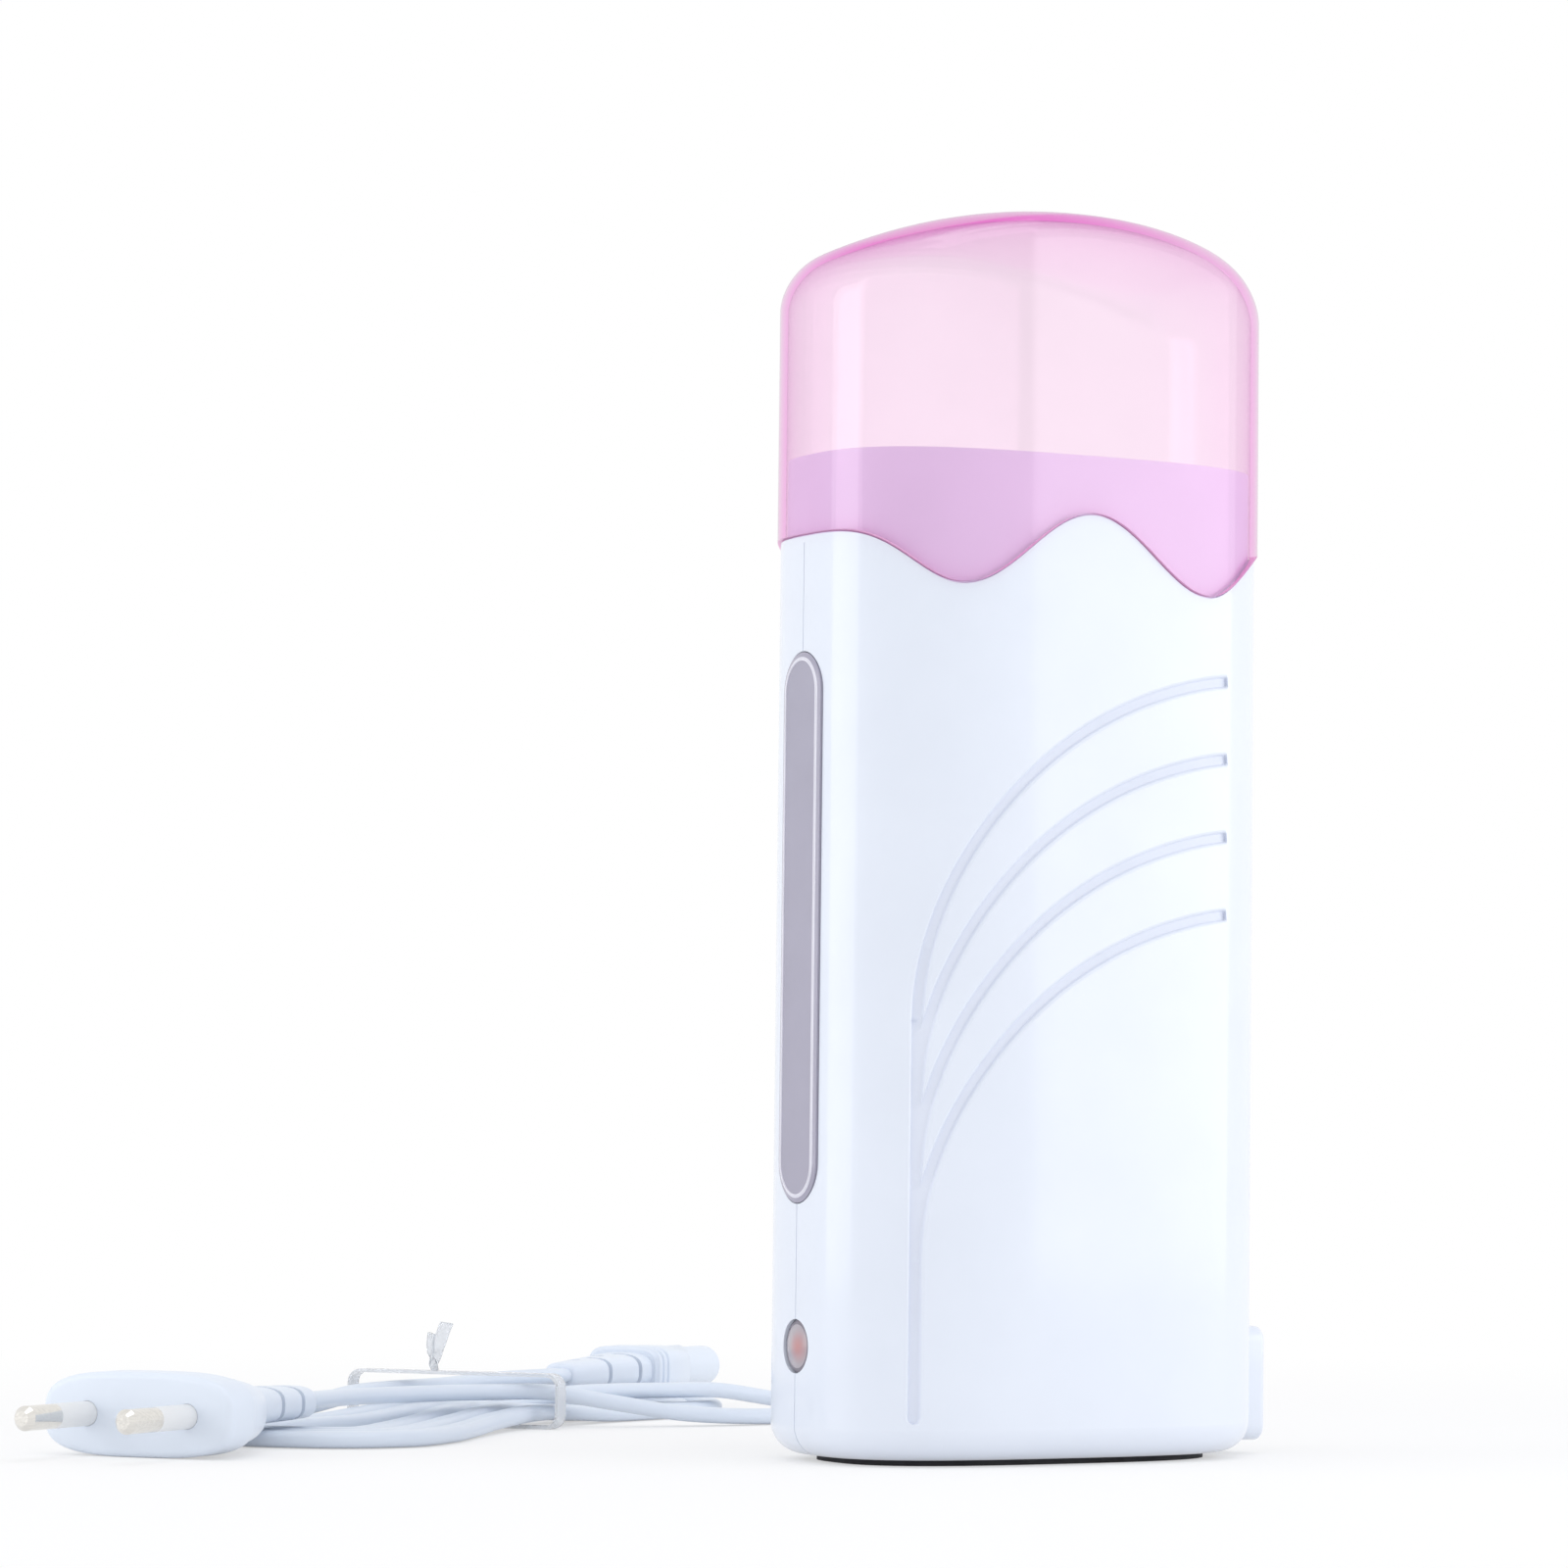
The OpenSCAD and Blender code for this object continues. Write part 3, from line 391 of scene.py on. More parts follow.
def noise(place, size, detail=3, stretch=None):
    """A noise value whose blobs are size millimetres across, drawn out by stretch along each axis."""
    if stretch:
        drawn = {"Vector": place, "Scale": [1 / s for s in stretch]}
        place = add_node(place, "Mapping", drawn).outputs["Vector"]
    sockets = {"Vector": place, "Scale": 1 / (size * MM), "Detail": detail}
    return add_node(place, "TexNoise", sockets).outputs["Fac"]


def ramp(value, low, high):
    """Turns a noise value into a colour that runs from low to high."""
    node = add_node(value, "ValToRGB", {"Fac": value})
    ends = ((NOISE_LOW, low), (NOISE_HIGH, high))
    for element, (place, colour) in zip(node.color_ramp.elements, ends):
        element.position, element.color = place, (*colour, 1)
    return node.outputs["Color"]


def darker(value, colour, share):
    """A colour that sinks to a share of itself as the value falls."""
    return ramp(value, [c * share for c in colour], colour)


def span(value, low, high):
    """Maps a noise value onto low to high."""
    return add_node(value, "MapRange", {"Value": value, "From Min": NOISE_LOW, "From Max": NOISE_HIGH,
                                        "To Min": low, "To Max": high}).outputs["Result"]


def bump(value, height, strength=1.0):
    """A normal that raises the surface by up to height millimetres, for the shading alone."""
    sockets = {"Height": value, "Distance": height * MM, "Strength": strength}
    return add_node(value, "Bump", sockets).outputs["Normal"]


def moulded(name, colour, roughness, drift=0.012, grain=0.25, grain_height=0.004, coat=0.0):
    """Moulded plastic: its colour drifts, and a fine grain breaks up the gloss."""
    material, shader, place = new_material(name)
    low = [max(c - drift, 0) for c in colour]
    high = [min(c + drift, 1) for c in colour]
    fill(shader, {
        "Base Color": ramp(noise(place, COLOUR_PATCH, 4), low, high),
        "Roughness": span(noise(place, GLOSS_PATCH), roughness * 0.88, roughness * 1.12),
        "Normal": bump(noise(place, grain, 2), grain_height),
        "Coat Weight": coat,
        "Coat Roughness": COAT_ROUGHNESS})
    return material


shell_white = moulded("shell_white", (0.755, 0.80, 0.89), 0.34, grain=0.4, grain_height=0.002, coat=0.7)
cord_white = moulded("cord_white", (0.70, 0.765, 0.86), 0.38, grain=0.35)
plug_white = moulded("plug_white", (0.74, 0.80, 0.89), 0.34, grain=0.3)
print("materials:", shell_white.name, cord_white.name, plug_white.name)

# %% [markdown]
# The sheath is one soft white skin from the plug to the connector, so the whole cord is one piece.

# %% Lay the cord
cord = make_cord(cord_white)
tell(cord)

# %% [markdown]
# The plug is soft plastic moulded over two pins. It has a thick flange to push on, then a body that
# narrows like a dome to the strain relief, with fine ribs across both faces so that fingers don't
# slip. One loft makes flange and body, because the mould makes them in one shot.

# %% Plug body
PLUG_WIDTH, PLUG_THICK = 35.3, 13.7
FLANGE_START, FLANGE_END, PLUG_BACK = 19, 27, 48
PLUG_LIP, PLUG_STEP, PLUG_TAPER = 1.2, 0.15, 1.6
PLUG_POWER, RELIEF_POWER, GRIP_POWER = 3.2, 3, 4
RELIEF_WIDTH, RELIEF_THICK = 12.4, 6.4
PLUG_PITCH, PLUG_PIN_RADIUS, PIN_ROOT, PIN_PLAY = 18.6, 2, 5, 0.05


def plug_profile():
    """(x, width, thickness) from the plug's face to its back."""
    narrow, thin = PLUG_WIDTH - 2 * PLUG_LIP, PLUG_THICK - PLUG_LIP
    profile = []
    for a in quarter(0, 6):
        edge = 2 * PLUG_LIP * (1 - math.sin(a))
        x = FLANGE_START + PLUG_LIP * (1 - math.cos(a))
        profile.append((x, PLUG_WIDTH - edge, PLUG_THICK - edge))
    for a in quarter(0, 6):
        edge = PLUG_LIP * (1 - math.cos(a))
        x = FLANGE_END - PLUG_LIP * (1 - math.sin(a))
        profile.append((x, PLUG_WIDTH - edge, PLUG_THICK - edge * 0.5))
    start = FLANGE_END + PLUG_STEP
    for u in np.linspace(0, 1, 22):
        fall = 1 - u**PLUG_TAPER
        profile.append((start + u * (PLUG_BACK - start), RELIEF_WIDTH + (narrow - RELIEF_WIDTH) * fall,
                        RELIEF_THICK + (thin - RELIEF_THICK) * fall))
    return profile


def lead_loft(name, profile, power=PLUG_POWER, y=0, z=PLUG_Z, count=72):
    """A closed skin through (x, width, thickness) rings along the lead's own X axis."""
    return loft(name, [in_room([(x, y + a, z + b) for a, b in superellipse(width, thick, power, count)])
                       for x, width, thick in profile])


def lead_bar(x0, x1, y, z, radius):
    """A round bar along the lead's own X axis, to cut a hole with."""
    return lead_loft("bar", [(x, 2 * radius, 2 * radius) for x in (x0, x1)], 2, y, z, 40)


plug = lead_loft("plug", plug_profile())
for side in (-1, 1):
    cut(plug, lead_bar(FLANGE_START - 2, FLANGE_START + PIN_ROOT, side * PLUG_PITCH / 2, PLUG_Z,
                       PLUG_PIN_RADIUS + PIN_PLAY))
finished(plug, plug_white)
tell(plug)

# %% [markdown]
# Seven fine ribs cross each face of the plug. They repeat with one pitch, so a small tree of
# Geometry Nodes places them: a line of points down the slope of the face, and the same rib set on
# each point.

# %% Grip ribs
RIB_COUNT, RIB_WIDE, RIB_TALL = 7, 0.45, 0.7
RIB_FIRST, RIB_LAST, RIB_SUNK = 34.0, 40.6, 0.05
RIB_REACH, RIB_END = 5.4, 0.3
RIB_SECTION = [(-0.5, -1), (-0.5, 0.3), (-0.3, 0.5), (0.3, 0.5), (0.5, 0.3), (0.5, -1)]


def line_of_copies():
    """A Geometry Nodes tree that sets one object on each point of a straight line."""
    tree = bpy.data.node_groups.new("line_of_copies", "GeometryNodeTree")
    tree.interface.new_socket("Geometry", in_out="OUTPUT", socket_type="NodeSocketGeometry")
    inputs = {}
    for label, kind in (("Piece", "Object"), ("Start", "Vector"), ("Step", "Vector"), ("Count", "Int")):
        inputs[label] = tree.interface.new_socket(label, in_out="INPUT",
                                                  socket_type="NodeSocket" + kind).identifier
    given, result = tree.nodes.new("NodeGroupInput"), tree.nodes.new("NodeGroupOutput")
    line, piece, copies, solid = [tree.nodes.new("GeometryNode" + kind) for kind in
                                  ("MeshLine", "ObjectInfo", "InstanceOnPoints", "RealizeInstances")]
    for maker, output, user, socket in (
            (given, "Count", line, "Count"), (given, "Start", line, "Start Location"),
            (given, "Step", line, "Offset"), (given, "Piece", piece, "Object"),
            (line, "Mesh", copies, "Points"), (piece, "Geometry", copies, "Instance"),
            (copies, "Instances", solid, "Geometry"), (solid, "Geometry", result, "Geometry")):
        tree.links.new(maker.outputs[output], user.inputs[socket])
    return tree, inputs


COPIES, COPIES_INPUTS = line_of_copies()


def copies_along(name, model, start, step, count):
    """Copies of model, made as one piece at a line of places in metres; model itself is taken away."""
    piece = new_piece(name, [], [])
    change = piece.modifiers.new("copies", "NODES")
    change.node_group = COPIES
    for label, value in (("Piece", model), ("Start", start), ("Step", step), ("Count", count)):
        change[COPIES_INPUTS[label]] = value
    bake(piece)
    bpy.data.objects.remove(model)
    return piece


def plug_half_thickness(x):
    xs, _, thicks = zip(*plug_profile())
    return np.interp(x, xs, thicks) / 2


def rib_model(side):
    """One rib across the lead's axis, with rounded shoulders, that stands up or hangs down."""
    along = np.array([math.cos(LEAD_TURN), math.sin(LEAD_TURN)])
    across = np.array([-along[1], along[0]])
    rings = []
    shoulder = RIB_REACH - RIB_END
    for y, size in ((-RIB_REACH, 0.55), (-shoulder, 1), (shoulder, 1), (RIB_REACH, 0.55)):
        rings.append([(*(along * a * RIB_WIDE + across * y), side * b * RIB_TALL * size)
                      for a, b in RIB_SECTION])
    return loft("rib", rings)


for face, side in (("upper", 1), ("lower", -1)):
    first, last = [in_room([(x, 0, PLUG_Z + side * (plug_half_thickness(x) - RIB_SUNK))])[0] * MM
                   for x in (RIB_FIRST, RIB_LAST)]
    ribs = copies_along("plug_ribs_" + face, rib_model(side), first, (last - first) / (RIB_COUNT - 1),
                        RIB_COUNT)
    tell(stand(finished(ribs, plug_white, 50), "heater", "cord_plastic"))

# %% [markdown]
# Where the cord leaves a plug it would soon break if it could fold there. So the plug ends in a
# tapered sleeve with slots cut from alternate sides: it bends, but only in a wide curve. The cord's
# own sheath shows at the bottom of the slots.

# %% Strain reliefs
SLOT_WIDTH, SLOT_COUNT = 1.2, 4
SLOT_STOP, SLOT_REACH, SLOT_TALL = -0.6, 12, 9
RELIEF_EDGE, CORE_POWER = 0.8, 2.3


def slot_cutter(x, y, z, side):
    """A flat slot that comes in from one side and stops with a round end past the middle."""
    half = SLOT_WIDTH / 2
    outline = [(x - half, y + side * SLOT_REACH), (x + half, y + side * SLOT_REACH)]
    outline += [(x + half * math.cos(a), y + side * (SLOT_STOP + half - half * math.sin(a)))
                for a in np.linspace(0, math.pi, 9)]
    return loft("slot", [in_room([(a, b, height) for a, b in outline])
                         for height in (z - SLOT_TALL, z + SLOT_TALL)])


def relief_profile(x0, x1, w0, t0, w1, t1):
    """(x, width, thickness) of a taper whose far end is rounded off."""
    profile = [(x0 + (x1 - x0) * u, w0 + (w1 - w0) * u, t0 + (t1 - t0) * u)
               for u in np.linspace(0, 0.96, 20)]
    direction = math.copysign(1, x1 - x0)
    for a in quarter(0.2, 6):
        edge = 2 * RELIEF_EDGE * (1 - math.cos(a))
        profile.append((x1 - direction * RELIEF_EDGE * (1 - math.sin(a)), w1 - edge, t1 - edge))
    return profile


def make_relief(name, profile, y, z, first_slot, pitch, material):
    relief = lead_loft(name, profile, RELIEF_POWER, y, z)
    for k in range(SLOT_COUNT):
        cut(relief, slot_cutter(first_slot + k * pitch, y, z, 1 if k % 2 == 0 else -1))
    ends = [(x, CORD_WIDTH, CORD_THICK) for x in (profile[0][0], profile[-1][0])]
    core = lead_loft("core", ends, CORE_POWER, y, z)
    return finished(cut(relief, core, "UNION"), material)


plug_relief = make_relief(
    "plug_sleeve_relief",
    relief_profile(PLUG_BACK, PLUG_RELIEF_END, RELIEF_WIDTH, RELIEF_THICK,
                   RELIEF_WIDTH - 2, RELIEF_THICK - 0.8),
    0, PLUG_Z, PLUG_BACK + 4, 3.6, plug_white)
CONNECTOR_WIDTH, CONNECTOR_THICK = 13.2, 7.4
GRIP_START, NOSE_START, CONNECTOR_END = 189, 203.6, 217.6
connector_relief = make_relief(
    "connector_sleeve_relief",
    relief_profile(GRIP_START, LEAD_START, CONNECTOR_WIDTH - 0.8, CONNECTOR_THICK - 0.6,
                   CORD_WIDTH + 1.2, CORD_THICK + 1.6),
    CONNECTOR_Y, CONNECTOR_Z, LEAD_START + 7, 5, plug_white)
tell(plug_relief, connector_relief)

# %% [markdown]
# The other end plugs into the heater. Its grip carries three ribs, and its nose is a figure of
# eight, two round sockets joined, so that it fits the inlet and nothing else. The groove along the
# nose is the valley between the two rounds.

# %% Connector
PIN_PITCH, SLEEVE_RADIUS, SLEEVE_PLAY = 8.6, 1.7, 0.03
NOSE_DIPS = [(0.7, 1), (0.35, 0.9), (0, 0.8), (-0.35, 0.9), (-0.7, 1)]
GRIP_RIB = [(0, 0), (0.15, 0.6), (0.4, 0.8), (0.8, 0.8), (1.05, 0.6), (1.2, 0)]
GRIP_RIBS, GRIP_RIB_FIRST, GRIP_RIB_PITCH, GRIP_RIBS_END = 3, 0.4, 2, 6.4
GRIP_WIDER, GRIP_THICKER, RIB_THICKER = 1.2, 1, 0.75
GRIP_SHOULDER = [(-0.6, 0), (-0.2, -0.25), (0, -0.9)]
NOSE_EDGE = [(-0.4, 0), (0, 0.6)]


def figure_of_eight(width, thick, dips, steps):
    """Two half circles joined by a waist, whose dips are shares of the reach and of the radius."""
    radius, reach = thick / 2, (width - thick) / 2
    waist = [(reach * a, radius * b) for a, b in dips]
    round_end = [(reach + radius * math.cos(a), radius * math.sin(a))
                 for a in np.linspace(-math.pi / 2, math.pi / 2, steps)]
    half = round_end + waist
    return half + [(-u, -v) for u, v in half]


def eight_ring(x, less=0.0):
    outline = figure_of_eight(CONNECTOR_WIDTH - less, CONNECTOR_THICK - less, NOSE_DIPS, 19)
    return in_room([(x, CONNECTOR_Y + a, CONNECTOR_Z + b) for a, b in outline])


def make_connector(material):
    wide, thick = CONNECTOR_WIDTH + GRIP_WIDER, CONNECTOR_THICK + GRIP_THICKER
    steps = [(GRIP_START, -0.8)]
    for k in range(GRIP_RIBS):
        first = GRIP_START + GRIP_RIB_FIRST + GRIP_RIB_PITCH * k
        steps += [(first + x, more) for x, more in GRIP_RIB]
    steps += [(GRIP_START + GRIP_RIBS_END, 0)] + [(NOSE_START + x, more) for x, more in GRIP_SHOULDER]
    profile = [(x, wide + more, thick + RIB_THICKER * more) for x, more in steps]
    grip = lead_loft("connector", profile, GRIP_POWER, CONNECTOR_Y, CONNECTOR_Z)
    nose = [eight_ring(NOSE_START - 1)] + [eight_ring(CONNECTOR_END + x, less) for x, less in NOSE_EDGE]
    cut(grip, loft("nose", nose), "UNION")
    for side in (-1, 1):
        cut(grip, lead_bar(NOSE_START + 2, CONNECTOR_END + 2, CONNECTOR_Y + side * PIN_PITCH / 2,
                           CONNECTOR_Z, SLEEVE_RADIUS + SLEEVE_PLAY))
    return finished(grip, material, 32)


connector = make_connector(plug_white)
tell(connector)

# %% [markdown]
# The hank is held by a strip of clear plastic that is laid round its waist and twisted shut. Its
# two ends stand out at a slant from the twist.

# %% Tie
TIE_WIDTH, TIE_THICK, TIE_CORNER = 3, 0.8, 2.5
TIE_SLACK_UP, TIE_SLACK_SIDE = 0.8, 0.6
TAIL_RINGS, TAIL_PLACE, TAIL_SUNK, TAIL_HALF_THICK = 14, 4.2, 0.4, 0.22
TAIL_ROOT, TAIL_WIDER, WIDEN_RATE, TWIST_RATE, TAIL_SWAY = 0.5, 0.65, 1.6, 2.2, 0.6
TAILS = [(math.radians(25), 9.6, 0.9), (math.radians(-12), 7.2, -0.8)]


def tie_band():
    """The closed strip round the hank's waist, a little slack at its corners, and its height."""
    high = WAIST_LIFT + 2 * CORD_THICK + TIE_SLACK_UP + 2 * TIE_THICK
    wide = 2 * (HANK_WAIST + CORD_WIDTH / 2 + TIE_SLACK_SIDE + TIE_THICK)
    solids = []
    for drawn_in, reach in ((0, TIE_WIDTH / 2), (TIE_THICK * 0.75, TIE_WIDTH)):
        outline = rounded_outline(wide - 2 * drawn_in, high - 2 * drawn_in, TIE_CORNER - drawn_in,
                                  (0, high / 2), 8)
        rings = [in_room([(HANK_MIDDLE + s * reach, y, z) for y, z in outline]) for s in (-1, 1)]
        solids.append(loft("cord_band", rings))
    return cut(*solids), high


def tie_tail(top, lean, length, turns):
    """One loose end: the same strip, twisted as it leaves the band."""
    rings = []
    slant, rise = math.sin(lean), math.cos(lean)
    for u in np.linspace(0, 1, TAIL_RINGS):
        twist = turns * math.pi * min(u * TWIST_RATE, 1)
        half_wide = TAIL_ROOT + TAIL_WIDER * min(u * WIDEN_RATE, 1)
        middle = np.array([HANK_MIDDLE + length * u * slant, TAIL_PLACE + TAIL_SWAY * math.sin(3 * u),
                           top - TAIL_SUNK + length * u * rise])
        side = np.array([math.sin(twist) * rise, math.cos(twist), -math.sin(twist) * slant])
        flat = np.cross(side, (slant, 0, rise)) * TAIL_HALF_THICK
        corners = [(-1, -1), (1, -1), (1, 1), (-1, 1)]
        rings.append(in_room([middle + side * a * half_wide + flat * b for a, b in corners]))
    return loft("tail", rings)


def make_tie(material):
    tie, top = tie_band()
    for tail in TAILS:
        cut(tie, tie_tail(top, *tail), "UNION")
    return finished(tie, material)


def soft_clear(name, tint):
    """A milky clear strip: most light passes, the rest scatters."""
    material, shader, place = new_material(name)
    fill(shader, {
        "Base Color": darker(noise(place, 3), tint, 0.96),
        "Roughness": span(noise(place, 2), 0.12, 0.28),
        "Normal": bump(noise(place, 1.5, 2), 0.05, 0.5),
        "Transmission Weight": 0.55,
        "IOR": CLEAR_IOR})
    return material


tie = make_tie(soft_clear("tie_clear", (0.93, 0.95, 0.98)))
tell(tie)

# %% [markdown]
# The plug, its ribs and pins, the connector and the tie all belong to the cord and go where it
# goes. So each piece rides on the same body as the cord, in place of the solid it stands for.

# %% The lead is one cord with the pieces on it
for piece, node in ((plug, "plug_body"), (plug_relief, "plug_relief"), (connector, "connector_body"),
                    (connector_relief, "connector_relief")):
    stand(piece, "heater", "cord_plastic", node)
stand(tie, "heater", "tie", "cord_tie")
stand(cord, "heater", "cord_skin", "cord", "cord_hank")

# %% [markdown]
# The case is moulded in two halves that meet at a seam round its sides. Its plan is neither an
# ellipse nor a rounded rectangle but something between: a superellipse, so even the front has a
# slight swell and the corners turn softly. All the case's and the cap's rings come from this one
# outline, drawn in or let out.

# %% The plan
case_low, case_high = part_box("front_shell")
HALF_WIDTH = -case_low[0] / MM
HALF_DEPTH = -case_low[1] / MM
NECK_TOP = case_high[2] / MM
BASE = case_low[2] / MM
PLAN_POWER, PLAN_POINTS, PLAN_TRIES = 2.9, 256, 20001
WALL, NECK_INSET, BOTTOM_RADIUS = 2.4, 1.0, 5


def plan(inset=0.0):
    """The case's outline, drawn in by inset, with its points evenly spaced."""
    return [(x * (HALF_WIDTH - inset) / HALF_WIDTH, y * (HALF_DEPTH - inset) / HALF_DEPTH)
            for x, y in PLAN_OUTLINE]


def even_plan():
    t = np.linspace(0, math.tau, PLAN_TRIES)
    x = HALF_WIDTH * np.sign(np.cos(t)) * np.abs(np.cos(t)) ** (2 / PLAN_POWER)
    y = HALF_DEPTH * np.sign(np.sin(t)) * np.abs(np.sin(t)) ** (2 / PLAN_POWER)
    run = run_along(np.column_stack([x, y]))
    at = np.linspace(0, run[-1], PLAN_POINTS + 1)[:-1]
    return list(zip(np.interp(at, run, x), np.interp(at, run, y)))


def run_along(line):
    """How far each point of a line lies from its start, along the line."""
    return np.concatenate([[0], np.cumsum(np.linalg.norm(np.diff(line, axis=0), axis=1))])


def front_face(x):
    """How far the front lies from the middle at x: the superellipse, solved for Y."""
    share = min(abs(x) / HALF_WIDTH, 1)
    return -HALF_DEPTH * (1 - share**PLAN_POWER) ** (1 / PLAN_POWER)


PLAN_OUTLINE = even_plan()
print("plan:", round(2 * HALF_WIDTH), "by", round(2 * HALF_DEPTH), "mm,", len(PLAN_OUTLINE), "points")

# %% [markdown]
# The white case stops under the cap in a wave: high in the middle of the front, low on both sides
# of it, and high again at the narrow sides. It is cut straight through from front to back. Above it
# only the neck stands, a wall drawn in far enough for the cap to slide over.

# %% The wave
WAVE_CREST, WAVE_TROUGH, WAVE_SIDE, TROUGH_PLACE = 153.2, 141.1, 149.6, 23
WAVE_POINTS = 200


def wave(x):
    """The height of the wave at x: one half of a cosine up to the trough, and one beyond it."""
    d = min(abs(x), HALF_WIDTH)
    if d < TROUGH_PLACE:
        return WAVE_TROUGH + (WAVE_CREST - WAVE_TROUGH) * (1 + math.cos(math.pi * d / TROUGH_PLACE)) / 2
    share = (d - TROUGH_PLACE) / (HALF_WIDTH - TROUGH_PLACE)
    return WAVE_TROUGH + (WAVE_SIDE - WAVE_TROUGH) * (1 - math.cos(math.pi * share)) / 2


def beyond_wave(lift, limit):
    """Everything between the wave, moved up by lift, and the height limit."""
    reach, depth = HALF_WIDTH + 2, HALF_DEPTH + 5
    line = [(x, wave(x) + lift) for x in np.linspace(-reach, reach, WAVE_POINTS)]
    return loft("beyond_wave", along_y([(-reach, limit), *line, (reach, limit)], -depth, depth))


def case_block(inset, top):
    """The case's full block with its rounded bottom edge, drawn in by inset."""
    radius = BOTTOM_RADIUS - inset / 2
    rings = []
    for a in quarter(0, 13):
        z = BASE + inset + radius * (1 - math.cos(a))
        rings += along_z(plan(inset + radius * (1 - math.sin(a))), z)
    return loft("case_block", rings + along_z(plan(inset), top))


print("wave:", round(WAVE_CREST - WAVE_TROUGH, 1), "mm from crest to trough")

# %% [markdown]
# Four grooves sweep across the front like quarters of an ellipse and run down together in one stem.
# A mould cutter leaves them with a flat floor and walls that lean out a little so that the part
# comes free, and the polisher rounds the upper edges, which catch the light as thin bright lines.
# Each groove is a bar that follows its curve at a steady depth under the swelling front, taken out
# of the block.

# %% Grooves
GROOVE_COUNT, GROOVE_STEP, GROOVE_RISE = 4, 12.8, 57
STEM_PLACE, STEM_BOTTOM = -29.1, 7
TIP_PLACE, TIP_TOP, CURVE_MIDDLE = 27.7, 128, 35.5
TIP_RADIUS, STEM_RADIUS = 0.55, 0.98
GROOVE_WALL = [(0.66, 0.7), (0.74, 0.62), (0.82, 0.42), (0.90, 0.27), (1.02, 0.14), (1.20, 0.045),
               (1.46, -0.05), (1.70, -0.5)]
GROOVE_SECTION = [(-across, depth) for across, depth in reversed(GROOVE_WALL)] + GROOVE_WALL


def groove_line(index):
    """(x, z) points of one groove, from its tip to the stem."""
    reach = CURVE_MIDDLE - STEM_PLACE
    middle = TIP_TOP - index * GROOVE_STEP - GROOVE_RISE
    start = math.acos((TIP_PLACE - CURVE_MIDDLE) / reach)
    return [(CURVE_MIDDLE + reach * math.cos(t), middle + GROOVE_RISE * math.sin(t))
            for t in np.linspace(start, math.pi, 90)]


def stem_line():
    return [(STEM_PLACE, z) for z in np.linspace(STEM_BOTTOM, TIP_TOP - GROOVE_RISE, 60)]


def groove_cutter(line, end_radius):
    """A bar along line, sunk in the front, whose start is rounded off."""
    line = np.array(line)
    run = run_along(line)
    near_end = end_radius * (1 - np.cos(quarter(0.15, 7)))
    places = np.unique(np.concatenate([run, near_end]))
    places = places[places >= near_end[0]]
    line = np.column_stack([np.interp(places, run, line[:, 0]), np.interp(places, run, line[:, 1])])
    rings = []
    for k, (x, z) in enumerate(line):
        ahead = line[min(k + 1, len(line) - 1)] - line[max(k - 1, 0)]
        ahead /= np.linalg.norm(ahead)
        drop = max(0, 1 - places[k] / end_radius)
        lost = end_radius * (1 - math.sqrt(max(0, 1 - drop * drop)))
        ring = []
        for across, depth in GROOVE_SECTION:
            s = math.copysign(max(abs(across) - lost, 0.05), across)
            ring.append((x - ahead[1] * s, front_face(x - ahead[1] * s) + depth, z + ahead[0] * s))
        rings.append(ring)
    return loft("groove", rings)


print("grooves:", GROOVE_COUNT, "and their stem")

# %% [markdown]
# The case starts as one full block. The wave, the inner room, the grooves and every opening are
# taken out of it, and only then is it parted at the seam, so both halves match along their whole
# edge. Four bosses stay in the room for the screws, which sit deep in round recesses in the back.

# %% The case before it is parted
WINDOW_WIDTH, WINDOW_LENGTH, WINDOW_Z = 13, 89, 86.2
LAMP_RADIUS, LAMP_Z = 4.2, 18.7
INLET_WIDTH, INLET_HEIGHT, INLET_Z = 14, 19, 11.8
NECK_LESS = 3
GAP = 0.15
PAD_MARGIN, PAD_THICK = 7, 2
SCREW_PLACES = [(-31, 137), (31, 137), (-16, 8.5), (16, 8.5)]
SCREW_SEAT, SCREW_TIP = 11, -6.2
BOSS_RADIUS, RECESS_RADIUS, SHANK_RADIUS = 4.2, 3.0, 1.8
FAR = 30


def round_bar_y(radius, x, z, y0, y1, count=64):
    outline = [(x + radius * math.cos(a), z + radius * math.sin(a))
               for a in np.linspace(0, math.tau, count, endpoint=False)]
    return loft("bar", along_y(outline, y0, y1))


def plan_prism(inset, low, high):
    return loft("prism", along_z(plan(inset), low, high))


def wall_hole(outline, side):
    """A straight hole through the narrow side's wall, on the left where side is -1."""
    return loft("hole", along_x(outline, side * (HALF_WIDTH - WALL - 5), side * (HALF_WIDTH + 2)))


def window_outline(inset, steps=20):
    return rounded_outline(WINDOW_WIDTH - 2 * inset, WINDOW_LENGTH - 2 * inset,
                           WINDOW_WIDTH / 2 - inset, (0, WINDOW_Z), steps)


def inlet_outline(less, radius):
    return rounded_outline(INLET_WIDTH - 2 * less, INLET_HEIGHT - 2 * less, radius, (0, INLET_Z))


def hollow():
    """The room inside the case, with the screws' bosses left standing in it."""
    room = case_block(WALL, NECK_TOP + 1)
    for x, z in SCREW_PLACES:
        cut(room, round_bar_y(BOSS_RADIUS, x, z, -FAR, FAR))
    return room


